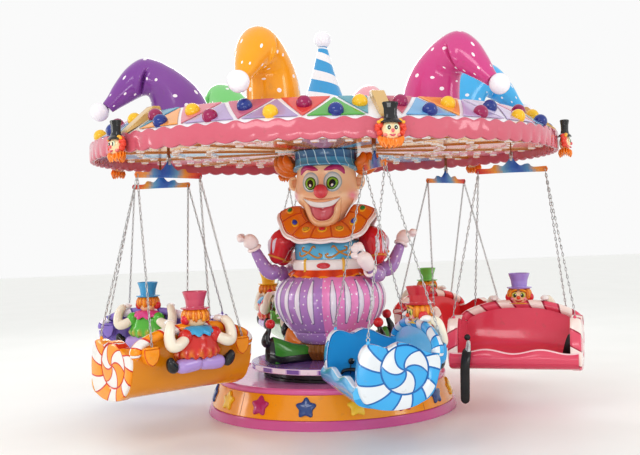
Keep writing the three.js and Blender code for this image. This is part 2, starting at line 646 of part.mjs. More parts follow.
function buildGondolas(parent) {
  const link = linkForm();
  const hanger = hangerForm();
  const shell = shellForm();
  const clown = backClownForm();
  for (let k = 0; k < seats; k += 1) {
    const place = spoke(k * step, parent);
    named(`link_${k + 1}`, link, painted(paint.steel, 0.35, 0.9), place);
    named(`hanger_${k + 1}`, hanger, painted(paint.steel, 0.35, 0.8), place);
    named(`gondola_${k + 1}`, shell, painted(podPaint[k]), place);
    named(`back_clown_${k + 1}`, clown, painted(clownPaint[k]), place);
  }
}

const ride = new THREE.Group();
buildBase(ride);
buildFigure(ride);
buildCanopy(ride);
buildRimHeads(ride);
buildRoofHats(ride);
buildGondolas(ride);

export default ride;
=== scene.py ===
# Dresses the chair swing ride: painted glass-fibre clown, canopy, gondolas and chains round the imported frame.
import math
import bpy
import numpy as np
from mathutils import Matrix, Vector


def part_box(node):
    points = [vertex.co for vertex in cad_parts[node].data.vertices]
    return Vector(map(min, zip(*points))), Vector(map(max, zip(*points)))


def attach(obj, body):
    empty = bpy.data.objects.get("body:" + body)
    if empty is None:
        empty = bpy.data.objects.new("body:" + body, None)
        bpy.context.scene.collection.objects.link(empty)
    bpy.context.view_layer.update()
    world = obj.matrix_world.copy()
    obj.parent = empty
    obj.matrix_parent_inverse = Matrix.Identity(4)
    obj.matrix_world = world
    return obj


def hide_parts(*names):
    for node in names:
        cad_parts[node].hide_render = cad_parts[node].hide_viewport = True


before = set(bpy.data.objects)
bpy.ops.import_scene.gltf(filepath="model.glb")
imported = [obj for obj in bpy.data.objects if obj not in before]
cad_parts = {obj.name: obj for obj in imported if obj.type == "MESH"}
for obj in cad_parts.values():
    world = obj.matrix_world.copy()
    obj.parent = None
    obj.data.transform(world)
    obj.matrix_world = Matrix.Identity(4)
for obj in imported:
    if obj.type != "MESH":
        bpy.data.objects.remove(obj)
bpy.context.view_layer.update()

halfTurn = math.pi
fullTurn = 2 * math.pi


def tone(code):
    # linear colour of a hexadecimal screen colour
    rgb = np.array([int(code[i:i + 2], 16) for i in (0, 2, 4)]) / 255
    return tuple(np.where(rgb <= 0.04045, rgb / 12.92, ((rgb + 0.055) / 1.055) ** 2.4))


# materials: one class for sockets with arithmetic, one for a node material

class Flow:
    # one socket of a material; arithmetic on it adds Math nodes
    def __init__(self, finish, socket):
        self.finish = finish
        self.socket = socket

    def __abs__(self):
        return self.finish.add("ShaderNodeMath", {"operation": "ABSOLUTE"}, (self,))


def arithmetic(operation, swapped):
    def act(self, other):
        values = (other, self) if swapped else (self, other)
        return self.finish.add("ShaderNodeMath", {"operation": operation}, values)
    return act


for sign, operation, swapped in (
        ("add", "ADD", False), ("radd", "ADD", False), ("sub", "SUBTRACT", False), ("rsub", "SUBTRACT", True),
        ("mul", "MULTIPLY", False), ("rmul", "MULTIPLY", False), ("truediv", "DIVIDE", False),
        ("rtruediv", "DIVIDE", True), ("pow", "POWER", False), ("mod", "FLOORED_MODULO", False),
        ("gt", "GREATER_THAN", False), ("lt", "LESS_THAN", False)):
    setattr(Flow, f"__{sign}__", arithmetic(operation, swapped))


class Finish:
    # a node material; fixed holds the shader sockets that are the same all over the surface
    def __init__(self, name, fixed):
        self.material = bpy.data.materials.new(name)
        self.material.use_nodes = True
        self.tree = self.material.node_tree
        self.shader = self.tree.nodes["Principled BSDF"]
        for socket, value in fixed.items():
            self.shader.inputs[socket].default_value = value

    def add(self, kind, settings=None, inputs=(), out=0):
        node = self.tree.nodes.new(kind)
        for key, value in (settings or {}).items():
            setattr(node, key, value)
        for key, value in inputs.items() if isinstance(inputs, dict) else enumerate(inputs):
            self.feed(node.inputs[key], value)
        return Flow(self, node.outputs[out])

    def feed(self, socket, value):
        if isinstance(value, Flow):
            self.tree.links.new(value.socket, socket)
        elif isinstance(value, tuple) and len(value) == 3 and socket.type == "RGBA":
            socket.default_value = (*value, 1)
        else:
            socket.default_value = value

    def drive(self, socket, value):
        self.feed(self.shader.inputs[socket], value)

    def place(self):
        return self.add("ShaderNodeTexCoord", out="Object")

    def split(self, vector):
        parts = self.add("ShaderNodeSeparateXYZ", inputs=(vector,))
        return [Flow(self, parts.socket.node.outputs[axis]) for axis in range(3)]

    def flatMap(self):
        return self.add("ShaderNodeUVMap", {"uv_map": "map"})

    def paint(self):
        return self.add("ShaderNodeAttribute", {"attribute_name": "paint"}, out="Color")

    def noise(self, where, scale, detail=3):
        return self.add("ShaderNodeTexNoise", inputs={"Vector": where, "Scale": scale, "Detail": detail})

    def mix(self, factor, first, second, kind="MIX"):
        settings = {"data_type": "RGBA", "blend_type": kind}
        return self.add("ShaderNodeMix", settings, {0: factor, 6: first, 7: second}, out=2)

    def bump(self, height, distance, strength=1.0):
        inputs = {"Height": height, "Distance": distance, "Strength": strength}
        self.drive("Normal", self.add("ShaderNodeBump", inputs=inputs))


# glass-fibre shell under glossy paint
gelcoat = {"cloudScale": 3.0, "fade": 0.03, "scuffScale": 14.0, "gloss": 0.13, "scuff": 0.26,
    "waveScale": 7.0, "wave": 0.0022, "speckScale": 90.0, "grime": "7a6a58"}


def glossy(name, pattern=None, gloss=gelcoat["gloss"], grime=0.1):
    # paint, or a pattern laid on it, with faded patches, a little grime, scuffs and wavy laid-up reflections
    f = Finish(name, {"Coat Weight": 0.4, "Coat Roughness": 0.05, "IOR": 1.42})
    where = f.place()
    base = f.paint()
    relief = 0.0
    if pattern:
        base, relief = pattern(f, base)
    cloud = f.noise(where, gelcoat["cloudScale"])
    scuffs = f.noise(where, gelcoat["scuffScale"], 6)
    specks = f.noise(where, gelcoat["speckScale"], 2) > 0.72
    base = f.mix((cloud - 0.3) * gelcoat["fade"] * 2, base, tone("ffffff"))
    base = f.mix((scuffs > 0.66) * grime + specks * grime * 0.8, base, tone(gelcoat["grime"]))
    f.drive("Base Color", base)
    f.drive("Roughness", gloss + (scuffs ** 3) * gelcoat["scuff"] + specks * 0.15)
    waves = f.noise(where, gelcoat["waveScale"], 2) + scuffs * 0.02
    f.bump(waves + relief * 0.4, gelcoat["wave"])
    return f.material


def dotted(scale, size, colour="f2ecf2"):
    # white dots: near the random centres of cells on the flat map, which is in metres
    def pattern(f, base):
        cells = f.add("ShaderNodeTexVoronoi", {"voronoi_dimensions": "2D"},
                      {"Vector": f.flatMap(), "Scale": scale, "Randomness": 0.75})
        return f.mix(cells < size, base, tone(colour)), 0.0
    return pattern


def striped(count, slant, share, colour):
    # slanted stripes: whole turns of the map's first number plus slant times its second one
    def pattern(f, base):
        along, up = f.split(f.flatMap())[:2]
        return f.mix(((along * count + up * slant) % 1.0) < share, base, tone(colour)), 0.0
    return pattern


def sweetStripes(f, wave, half, colours):
    # alternate colours at every whole number of the wave, with an outline half that many units wide at each
    first, second, outline = colours
    base = f.mix((wave * 0.5) % 1.0 < 0.5, tone(first), tone(second))
    line = abs(wave % 1.0 - 0.5) > 0.5 - half
    return f.mix(line, base, tone(outline)), line


def swirled(colours, centre, disc, petals, stripes, line):
    # polar stripes round a centre: curved petals inside the disc, straighter stripes outside it
    def pattern(f, base):
        y, z = (number - middle for number, middle in zip(f.split(f.flatMap()), centre))
        radius = (y * y + z * z) ** 0.5 + 0.0001
        turns = f.add("ShaderNodeMath", {"operation": "ARCTAN2"}, (z, y)) / fullTurn
        inside = radius < disc
        inner = (turns + (radius / disc) ** 0.8 * 0.2 + 1) * petals
        outer = (turns + radius * 0.25 + 0.02 + 1) * stripes
        count = stripes + inside * (petals - stripes)
        wave = outer + inside * (inner - outer)
        colour, edge = sweetStripes(f, wave, line * count / (radius * fullTurn), colours)
        rim = abs(radius - disc) < line
        return f.mix(rim, colour, tone(colours[2])), (rim + edge) * -1
    return pattern


def candied(colours, slant, half):
    # stripes across a roll: whole numbers along it, slanted round it
    def pattern(f, base):
        turned, along = f.split(f.flatMap())[:2]
        colour, edge = sweetStripes(f, along + turned * slant, half, colours)
        return colour, edge * -1
    return pattern


def steel(name, colour, roughness, rust=0.0, scale=60.0):
    # bare metal: brightness and roughness vary with fine noise, with brown in the low spots
    f = Finish(name, {"Metallic": 0.92, "IOR": 2.0})
    where = f.place()
    grain = f.noise(where, scale, 5)
    patches = f.noise(where, scale * 0.2, 4)
    base = f.mix(grain, tone(colour), tone("f4f4f2"))
    if rust:
        base = f.mix((patches > 0.58) * rust, base, tone("7a5238"))
    f.drive("Base Color", base)
    f.drive("Roughness", roughness + grain * 0.2)
    f.bump(grain, 0.0004)
    return f.material


# shapes: all of them are grids of points, rows by columns

class Form:
    # gathers surfaces for one piece; each surface is repeated at every place
    def __init__(self, *places):
        self.places = places or (lambda points: points,)
        self.chunks = []
        self.count = 0

    def add(self, grid, paint=(1, 1, 1), mark=0, loop=True, caps=(True, True), ring=False, span=(1, 1),
            smooth=True, flip=False, chart=None):
        # quads between neighbouring rows and columns; loop joins the last column to the first, ring the last
        # row to the first, and caps close the end rows with a fan; closed surfaces are turned to face out;
        # the map runs evenly over span, or holds the chart's two numbers for every point
        rows, columns = grid.shape[:2]
        i = np.arange(rows if ring else rows - 1)[:, None]
        j = np.arange(columns if loop else columns - 1)[None, :]
        low, high = i * columns, (i + 1) % rows * columns
        after = (j + 1) % columns
        corners = np.stack([low + j, low + after, high + after, high + j], -1).reshape(-1, 4)
        wide = span[0] / max(columns - (0 if loop else 1), 1)
        tall = span[1] / max(rows - (0 if ring else 1), 1)
        flat = np.stack(np.broadcast_arrays(
            np.stack([j, j + 1, j + 1, j], -1) * wide, np.stack([i, i, i + 1, i + 1], -1) * tall), -1)
        flat = flat.reshape(-1, 4, 2) if chart is None else chart.reshape(-1, 2)[corners]
        paints = np.broadcast_to(np.asarray(paint, float), (len(i), j.size, 3)).reshape(-1, 3)
        points = grid.reshape(-1, 3)
        fans = []
        if loop and not ring:
            ends = [(0, 0, 0.0), (rows - 1, 1, span[1])]
            for row, side, v in [end for end, wanted in zip(ends, caps) if wanted]:
                edge = row * columns + np.arange(columns)
                turned = np.roll(edge, -1)
                hub = np.full(columns, len(points))
                middle = (0, v) if chart is None else chart[row].mean(0)
                fans.append((np.stack([edge, turned, hub] if side else [turned, edge, hub], -1),
                             paints[-columns:] if side else paints[:columns], middle))
                points = np.vstack([points, grid[row].mean(0)])
        closed = ring or (loop and all(caps))
        if closed:
            a, b, c, d = (points[corners[:, n]] - points.mean(0) for n in range(4))
            volume = (np.cross(a, b) * c).sum() + (np.cross(a, c) * d).sum()
            flip = volume < 0
        for place in self.places:
            self.store(place(points), corners, flat, paints, mark, smooth, flip)
            for fan, fanPaints, middle in fans:
                spot = np.broadcast_to(middle, (len(fan), 3, 2))
                self.store(None, fan, spot, fanPaints, mark, smooth, flip)
            self.count += len(points)

    def store(self, points, corners, flat, paints, mark, smooth, flip):
        if flip:
            corners, flat = corners[:, ::-1], flat[:, ::-1]
        sizes = np.full(len(corners), corners.shape[1])
        hues = np.repeat(np.hstack([paints, np.ones((len(paints), 1))]), corners.shape[1], axis=0)
        self.chunks.append((points, (corners + self.count).ravel(), flat.reshape(-1, 2), hues, sizes,
                            np.full(len(sizes), mark), np.full(len(sizes), smooth)))

    def make(self, name, finishes, body, slot, *replaced, crease=38):
        points = np.concatenate([chunk[0] for chunk in self.chunks if chunk[0] is not None])
        corners, flat, hues, sizes, marks, smooth = (
            np.concatenate([chunk[n] for chunk in self.chunks]) for n in range(1, 7))
        mesh = bpy.data.meshes.new(name)
        mesh.vertices.add(len(points))
        mesh.vertices.foreach_set("co", points.astype(np.float32).ravel())
        mesh.loops.add(len(corners))
        mesh.loops.foreach_set("vertex_index", corners.astype(np.int32))
        mesh.polygons.add(len(sizes))
        mesh.polygons.foreach_set("loop_start", (np.cumsum(sizes) - sizes).astype(np.int32))
        mesh.polygons.foreach_set("material_index", marks.astype(np.int32))
        mesh.polygons.foreach_set("use_smooth", smooth)
        mesh.update(calc_edges=True)
        mesh.uv_layers.new(name="map").data.foreach_set("uv", flat.astype(np.float32).ravel())
        hue = mesh.color_attributes.new("paint", "FLOAT_COLOR", "CORNER")
        hue.data.foreach_set("color", hues.astype(np.float32).ravel())
        mesh.set_sharp_from_angle(angle=math.radians(crease))
        for finish in finishes:
            mesh.materials.append(finish)
        piece = bpy.data.objects.new(name, mesh)
        bpy.context.scene.collection.objects.link(piece)
        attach(piece, body)
        if replaced:
            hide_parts(*replaced)
        return piece


def turnZ(degrees, shift=(0, 0, 0)):
    # a place: turned about the upright axis, then shifted
    c, s = math.cos(math.radians(degrees)), math.sin(math.radians(degrees))
    matrix = np.array([[c, s, 0], [-s, c, 0], [0, 0, 1]])
    return lambda points: points @ matrix + np.array(shift)


def spoke(angle):
    # a place whose x axis points outwards at an angle counted from -Y towards +X
    return turnZ(angle - 90)


def unit(vectors):
    return vectors / np.linalg.norm(vectors, axis=-1, keepdims=True)


def ease(x, low, high):
    # a smooth step: the cube-and-square curve between low and high
    t = np.clip((x - low) / (high - low), 0, 1)
    return t * t * (3 - 2 * t)


def turns(count):
    # evenly spaced angles of one whole turn
    return np.linspace(0, fullTurn, count, endpoint=False)


def outwards(angle):
    # the level direction at an angle counted from -Y towards +X
    return np.array([math.sin(angle), -math.cos(angle), 0])


def joined(*parts):
    # one array of points from the arrays of its coordinates
    return np.stack(np.broadcast_arrays(*parts), -1)


def wheel(radius, angle, height, flat=1.0):
    # points at a radius and an angle counted like that, flat times as deep as they are wide
    return joined(radius * np.sin(angle), -radius * flat * np.cos(angle), height)


def levels(rows):
    # the numbers of each row of a table, as columns
    return (np.array([row[n] for row in rows], float)[:, None] for n in range(len(rows[0])))


def shades(rows, around, ground, *stripes):
    # one colour for all quads, then others from one row to another
    paints = np.empty((rows, around, 3))
    paints[:] = ground
    for low, high, colour in stripes:
        paints[low:high] = colour
    return paints


def curve(points, count, closed=False):
    # evenly spaced samples of the Catmull-Rom cubic through the points
    p = np.asarray(points, float)
    ends = (p[-1], [p[0], p[1]]) if closed else (2 * p[0] - p[1], 2 * p[-1] - p[-2])
    wide = np.vstack([ends[0], p, ends[1]])
    spans = len(wide) - 3
    t = np.linspace(0, spans, count, endpoint=not closed)
    i = np.minimum(t.astype(int), spans - 1)
    f = (t - i)[:, None]
    a, b, c, d = (wide[i + n] for n in range(4))
    square, cube = (2 * a - 5 * b + 4 * c - d) * f ** 2, (3 * b - a - 3 * c + d) * f ** 3
    return 0.5 * (2 * b + (c - a) * f + square + cube)


def soften(points, radius, closed=False):
    # every corner becomes a short quadratic curve that begins and ends a radius away, with a row beside each
    p = np.asarray(points, float)
    ahead, behind = np.roll(p, -1, 0) - p, np.roll(p, 1, 0) - p
    near = np.minimum(np.linalg.norm(ahead, axis=1), np.linalg.norm(behind, axis=1))
    reach = np.minimum(radius, 0.4 * near)[:, None]
    t = np.linspace(0, 1, 5)[:, None]
    rows = [np.vstack([s + (s - c) * 0.15, (1 - t) ** 2 * s + 2 * t * (1 - t) * c + t ** 2 * e,
                       e + (e - c) * 0.15])
            for s, c, e in zip(p + unit(behind) * reach, p, p + unit(ahead) * reach)]
    return np.vstack(rows) if closed else np.vstack([p[:1], *rows[1:-1], p[-1:]])


def lathe(profile, around=96, ripple=None):
    # radius and height of each profile row, carried round the upright axis; ripple(angle, rows) adds to it
    profile = np.asarray(profile, float)
    angle = turns(around)[None, :]
    radius = profile[:, :1] + 0 * angle
    if ripple:
        radius = radius + ripple(angle, profile)
    return wheel(radius, angle, profile[:, 1:])


def rails(path, up=(0, 0, 1), closed=False):
    # directions sideways and upwards across a path
    ahead = np.roll(path, -1, 0) - np.roll(path, 1, 0) if closed else np.gradient(path, axis=0)
    side = unit(np.cross(ahead, up))
    return side, unit(np.cross(side, ahead))


def tube(path, radius, around=12, up=(0, 0, 1), flat=1.0, closed=False):
    # a circle of the given radius carried along the path, its upward half axis times flat
    path = np.asarray(path, float)
    side, lift = rails(path, up, closed)
    a = turns(around)[None, :, None]
    reach = np.broadcast_to(np.asarray(radius, float), len(path))[:, None, None]
    return path[:, None] + reach * (np.cos(a) * side[:, None] + np.sin(a) * flat * lift[:, None])


def limb(points, radii, count=24, around=14, up=(0, 1, 0), flat=1.0):
    # a smooth tube through the points whose ends are rounded: near an end the radius falls off as on a ball
    rows = curve(np.column_stack([points, radii]), 200)
    t = (1 - np.cos(np.linspace(0, halfTurn, count))) / 2 * (len(rows) - 1)
    i = np.minimum(t.astype(int), len(rows) - 2)
    rows = rows[i] + (rows[i + 1] - rows[i]) * (t - i)[:, None]
    along = np.concatenate([[0], np.cumsum(np.linalg.norm(np.diff(rows[:, :3], axis=0), axis=1))])
    near = np.clip(np.minimum(along, along[-1] - along) / rows[:, 3], 0.02, 1)
    return tube(rows[:, :3], rows[:, 3] * np.sqrt(1 - (1 - near) ** 2), around, up, flat)


def blob(centre, radii, rows=10, around=18):
    # an ellipsoid by latitude and longitude
    lat = np.linspace(-0.47, 0.47, rows)[:, None] * halfTurn
    lon = turns(around)[None, :]
    ball = np.stack([np.cos(lat) * np.cos(lon), np.cos(lat) * np.sin(lon), np.sin(lat) + 0 * lon], -1)
    return np.array(centre) + ball * np.array(radii)


def dome(outline, rows, origin, right, up):
    # a flat outline whose copies shrink by each row's scale while they rise by its height
    rows = np.asarray(rows, float)
    out = np.cross(right, up)
    flat = outline[None] * rows[:, :1, None]
    return (np.array(origin) + flat[..., :1] * np.array(right) + flat[..., 1:] * np.array(up)
            + rows[:, 1, None, None] * out)


def ovalOutline(halfWidth, halfHeight, count=28):
    a = turns(count)
    return np.column_stack([halfWidth * np.cos(a), halfHeight * np.sin(a)])


def lay(surface, flat, lift):
    # points of a surface at flat's two numbers, moved out along its normal by lift
    u, v = flat[..., 0], flat[..., 1]
    tiny = 1e-4
    first, second = surface(u + tiny, v) - surface(u - tiny, v), surface(u, v + tiny) - surface(u, v - tiny)
    return surface(u, v) + unit(np.cross(first, second)) * np.asarray(lift)[..., None]


def patch(surface, outline, rows, centre=(0, 0)):
    # a raised badge on a curved surface: the outline shrinks to its centre row by row
    rows = np.asarray(rows, float)
    flat = np.array(centre) + outline[None] * rows[:, :1, None]
    return lay(surface, flat, rows[:, 1, None] + 0 * flat[..., 0])


def box(low, high, bevel=0.003):
    # a block with softened upright edges
    (x0, y0, z0), (x1, y1, z1) = low, high
    outline = soften([(x0, y0), (x1, y0), (x1, y1), (x0, y1)], bevel, closed=True)
    centre = np.array([(x0 + x1) / 2, (y0 + y1) / 2])
    size = min(abs(x1 - x0), abs(y1 - y0))
    shrink = 1 - 2 * min(bevel, size * 0.3) / size
    return np.stack([np.column_stack([(outline - centre) * scale + centre, np.full(len(outline), z)])
                     for scale, z in ((shrink, z0), (1, z0 + bevel), (1, z1 - bevel), (shrink, z1))])


print("stage: camera and light")

# the camera of the photograph, in metres and in pixels of the 640 by 455 frame
photoView = {"azimuth": 12.28, "distance": 8.195, "height": 1.553, "focal": 932.0, "pan": 0.0262,
    "pitch": -0.0084, "roll": 0.0294, "centre": (352.7, 235.7), "frame": (640, 455), "sensor": 36.0}


def addCamera():
    v = photoView
    angle = math.radians(v["azimuth"])
    inwards = Vector((math.sin(angle), math.cos(angle), 0))
    right = Vector((math.cos(angle), -math.sin(angle), 0))
    up = Vector((0, 0, 1))

    def turned(first, second, angle):
        cosine, sine = math.cos(angle), math.sin(angle)
        return first * cosine + second * sine, second * cosine - first * sine

    ahead, side = turned(inwards, right, v["pan"])
    ahead, above = turned(ahead, up, v["pitch"])
    above, side = turned(above, side, v["roll"])
    camera = bpy.data.cameras.new("photoCamera")
    width, height = v["frame"]
    camera.sensor_width = v["sensor"]
    camera.lens = v["focal"] * v["sensor"] / width
    camera.shift_x = (width / 2 - v["centre"][0]) / width
    camera.shift_y = (v["centre"][1] - height / 2) / width
    holder = bpy.data.objects.new("photoCamera", camera)
    holder.matrix_world = Matrix.Translation(up * v["height"] - inwards * v["distance"]) @ Matrix(
        (side, above, -ahead)).transposed().to_4x4()
    bpy.context.scene.collection.objects.link(holder)
    bpy.context.scene.camera = holder


studio = {"sky": 0.8, "aim": (0, 0, 1.4),
    "lamps": [  # place, size and watts
        ((-4.5, -6.0, 5.2), (3.2, 2.2), 82), ((6.0, -5.0, 4.0), (1.6, 3.0), 52),
        ((0.5, 6.5, 5.0), (4.0, 2.0), 78), ((-7.0, 1.5, 2.6), (1.2, 2.6), 38),
        ((-2.0, -8.5, 0.4), (6.0, 0.6), 60)]}


def addLight():
    world = bpy.data.worlds.new("studioSky")
    world.use_nodes = True
    sky = world.node_tree.nodes["Background"]
    sky.inputs["Color"].default_value = (1, 1, 1, 1)
    sky.inputs["Strength"].default_value = studio["sky"]
    bpy.context.scene.world = world
    for number, (spot, size, watts) in enumerate(studio["lamps"]):
        lamp = bpy.data.lights.new(f"softbox{number}", "AREA")
        lamp.shape = "RECTANGLE"
        lamp.size, lamp.size_y = size
        lamp.energy = watts
        holder = bpy.data.objects.new(lamp.name, lamp)
        holder.location = spot
        holder.rotation_euler = (Vector(studio["aim"]) - Vector(spot)).to_track_quat("-Z", "Y").to_euler()
        bpy.context.scene.collection.objects.link(holder)
    bpy.context.scene.view_settings.view_transform = "Standard"
    bpy.context.scene.view_settings.look = "Medium High Contrast"


def addFloor():
    f = Finish("paleFloor", {})
    grain = f.noise(f.place(), 1.2)
    f.drive("Base Color", f.mix(grain, tone("f0f1ed"), tone("f9f9f6")))
    f.drive("Roughness", 0.35 + grain * 0.15)
    mesh = bpy.data.meshes.new("studioFloor")
    reach = 30.0
    mesh.from_pydata([(-reach, -reach, 0), (reach, -reach, 0), (reach, reach, 0), (-reach, reach, 0)], [],
                     [(0, 1, 2, 3)])
    mesh.materials.append(f.material)
    floor = bpy.data.objects.new("studioFloor", mesh)
    bpy.context.scene.collection.objects.link(floor)


addCamera()
addLight()
addFloor()

print("stage: base")

shell = glossy("paintedShell")
peach, white, black, red = tone("fbd4ac"), tone("f2f0ee"), tone("141416"), tone("d11f26")
blackPaint = glossy("blackPaint", gloss=0.32, grime=0.3)
zinc = steel("zincSteel", "3a3d41", 0.28)

base = {"rose": "c8508e", "roseLight": "d9679f", "orange": "f09a08", "lilac": "ec98d2", "seam": "b56c10",
    "bearing": "161618", "bolt": "2b2b2e", "around": 180, "seams": (-58, 32, 122, 212), "seamHalf": 0.0035,
    "rimInset": 0.007, "stars": ["2b4a86", "f3c52c", "b3286a"], "starCount": 16, "starFirst": -24.3,
    "starHeight": 0.17, "starSize": 0.082, "starRise": 0.021, "boltCount": 24, "boltSize": 0.01,
    "boltInset": 0.011}


def buildBase():
    b = base
    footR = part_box("base_foot_ring")[1].y
    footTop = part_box("base_foot_ring")[1].z
    deckTop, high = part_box("base_top_deck")[1].z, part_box("slewing_bearing")[1].z
    skirtLow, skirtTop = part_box("base_skirt")[1].y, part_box("base_skirt")[1].z
    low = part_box("slewing_bearing")[0].z
    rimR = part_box("base_top_deck")[1].y
    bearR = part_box("slewing_bearing")[1].y
    waist = rimR - b["rimInset"]
    slope = (waist - skirtLow) / (skirtTop - footTop)
    foot, skirt, deck, ring = Form(), Form(), Form(), Form()
    profile = [(0.9, 0.0), (footR, 0.0), (footR - 0.003, 0.012), (1.064, footTop), (skirtLow - 0.02, footTop)]
    foot.add(lathe(soften(profile, 0.008), b["around"]), tone(b["rose"]))
    foot.make("footRing", [shell], "base", "rose_shell", "base_foot_ring")
    profile = [(0.9, footTop), (skirtLow, footTop), (skirtLow + slope * 0.1, footTop + 0.1),
               (waist, skirtTop), (0.9, skirtTop)]
    skirt.add(lathe(soften(profile, 0.004), b["around"]), tone(b["orange"]))
    for seam in b["seams"]:  # raised strip where two skirt panels meet
        out = outwards(math.radians(seam))
        path = [out * (skirtLow + slope * h + 0.0005) + (0, 0, footTop + h)
                for h in np.linspace(0.002, skirtTop - footTop - 0.002, 6)]
        skirt.add(tube(path, b["seamHalf"], 8, up=out + (0, 0, 0.2), flat=0.4), tone(b["seam"]))
    skirt.make("skirtCone", [shell], "base", "orange_shell", "base_skirt")
    addStars(skirtLow, footTop, slope)
    top = soften([(rimR - 0.03, skirtTop), (rimR - 0.006, skirtTop), (rimR, skirtTop + 0.014),
                  (rimR, deckTop - 0.014), (rimR - 0.02, deckTop), (0.946, deckTop - 0.012), (0.62, low),
                  (0.3, low)], 0.009)
    inside = (top[:-1, 0] < 0.958)[:, None, None]
    deck.add(lathe(top, b["around"]), np.where(inside, tone(b["lilac"]), tone(b["roseLight"])))
    deck.make("topDeck", [shell], "base", "lilac_shell", "base_top_deck")
    neck, cap = bearR - 0.02, bearR - 0.008
    profile = [(0.3, low), (bearR, low), (bearR, low + 0.022), (neck, low + 0.026), (neck, high - 0.016),
               (cap, high - 0.012), (cap, high), (0.3, high)]
    ring.add(lathe(soften(profile, 0.003), 120), tone(b["bearing"]))
    bolt = ovalOutline(b["boltSize"], b["boltSize"], 6)
    for k in range(b["boltCount"]):
        spot = outwards(fullTurn * k / b["boltCount"]) * (bearR - b["boltInset"]) + (0, 0, low + 0.0225)
        head = dome(bolt, [(1, 0), (1, 0.006), (0.8, 0.008)], spot, (1, 0, 0), (0, 1, 0))
        ring.add(head, tone(b["bolt"]), smooth=False)
    ring.make("slewingBearing", [blackPaint], "base", "black_steel", "slewing_bearing")


def addStars(skirtLow, footTop, slope):
    # a five-armed outline: the radius is a cosine of five times the angle, sharpened by one of ten times it
    a = turns(60)
    count, height, rise = base["starCount"], base["starHeight"], base["starRise"]
    reach = base["starSize"] * (0.84 + 0.16 * np.cos(5 * a) + 0.02 * np.cos(10 * a))
    outline = np.column_stack([reach * np.sin(a), reach * np.cos(a)])
    rows = [(1.0, -0.006), (1.0, rise * 0.3), (0.97, rise * 0.52), (0.9, rise * 0.68), (0.6, rise * 0.86),
            (0.25, rise * 0.98)]
    stars = Form()
    for k in range(-count // 2, count // 2):  # the two blue ones that meet are at the back
        angle = math.radians(base["starFirst"] + 360 * k / count)
        out = outwards(angle)
        spot = out * (skirtLow + slope * (height - footTop)) + (0, 0, height)
        right = (math.cos(angle), math.sin(angle), 0)
        stars.add(dome(outline, rows, spot, right, unit(out * slope + (0, 0, 1))), tone(base["stars"][k % 3]))
    stars.make("skirtStars", [shell], "base", "rose_shell", crease=60)


buildBase()

print("stage: turntable")

table = {"violet": "7a4fa6", "violetTop": "8a68b4", "pale": "f2e6ee", "edge": "cdb3dc", "blocks": 32,
    "around": 320, "blockHalf": 0.0175}


def buildTable():
    # violet blocks with pale edges round the side
    low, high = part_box("turntable_disc")
    radius = high.y
    n, per = table["around"], table["around"] // table["blocks"]
    top = soften([(0.4, low.z), (radius - 0.008, low.z), (radius, low.z + 0.006), (radius, high.z - 0.008),
                  (radius - 0.01, high.z), (0.2, high.z)], 0.005)
    column = np.arange(n)
    side = ((top[:-1, 0] > radius - 0.006) & (top[1:, 0] > radius - 0.006))[:, None, None]
    block = (column // per % 2 == 0)[None, :, None]
    edge = ((column % per == 0) | (column % per == per - 1))[None, :, None] & block
    away = np.abs((top[:-1, 1] + top[1:, 1]) / 2 - (low.z + high.z) / 2)[:, None, None]
    shown = np.where(edge, tone(table["edge"]), tone(table["violet"]))
    rim = np.where(block & (away <= table["blockHalf"]), shown, tone(table["pale"]))
    disc = Form()
    disc.add(lathe(top, n), np.where(side, rim, tone(table["violetTop"])))
    disc.make("turntableDisc", [shell], "rotor", "violet_shell", "turntable_disc")


buildTable()

print("stage: clown figure")

figureYaw = -21
figureBoth = (turnZ(figureYaw), turnZ(figureYaw + 180))  # a front and a back clown share one body


def stroke(surface, path, half, lift, around=10):
    # a raised line on a surface: an ellipse, half wide and lift high, along a path of the surface's numbers
    path = np.asarray(path, float)
    ahead = unit(np.gradient(path, axis=0))
    side = np.stack([-ahead[:, 1], ahead[:, 0]], -1)
    a = turns(around)[None, :]
    half, lift = (np.broadcast_to(np.asarray(v, float), len(path))[:, None] for v in (half, lift))
    return lay(surface, path[:, None] + side[:, None] * (half * np.cos(a))[..., None], lift * np.sin(a))


def tapered(count, size, share=0.35, tip=0.12):
    # a width that grows from both tips to its full size over a share of the length
    t = np.linspace(0, 1, count)
    return size * (tip + (1 - tip) * np.sin(np.clip(np.minimum(t, 1 - t) / share, 0, 1) * halfTurn / 2))


head = {
    "rows": [(1.57, 0.088, 0.236), (1.59, 0.112, 0.282), (1.63, 0.138, 0.318), (1.69, 0.172, 0.334),
        (1.745, 0.208, 0.338), (1.8, 0.262, 0.338), (1.86, 0.284, 0.33), (1.95, 0.268, 0.31),
        (2.04, 0.258, 0.298), (2.09, 0.252, 0.29)],
    "bumps": [  # height, middle, width and tallness of cheeks, chin, brow, sockets, bridge and mouth
        (0.026, 0.185, 1.84, 0.075, 0.06), (0.014, 0.0, 1.59, 0.1, 0.035), (0.012, 0.09, 2.055, 0.09, 0.03),
        (-0.012, 0.1, 1.945, 0.06, 0.06), (0.012, 0.0, 1.93, 0.03, 0.06), (-0.01, 0.0, 1.72, 0.09, 0.05)],
    "ear": [(0.265, 0.0, 1.905), (0.305, 0.0, 1.915), (0.322, 0.0, 1.96), (0.312, 0.0, 2.0),
        (0.27, 0.0, 2.005)],
    "earHollowShade": ((0.276, 0, 1.957), (0.04, 0.014, 0.044), "e0a27a"),
    "blush": (0.245, 0.03, 1.828, 0.04), "cheek": "f0788c", "nose": (0.0, -0.352, 1.868, 0.061),
    "noseRed": "e0505a", "brow": "b8246e", "lip": "eeb183", "lowerLip": "f3c294", "mouth": "b03444",
    "tongue": "d2606c"}
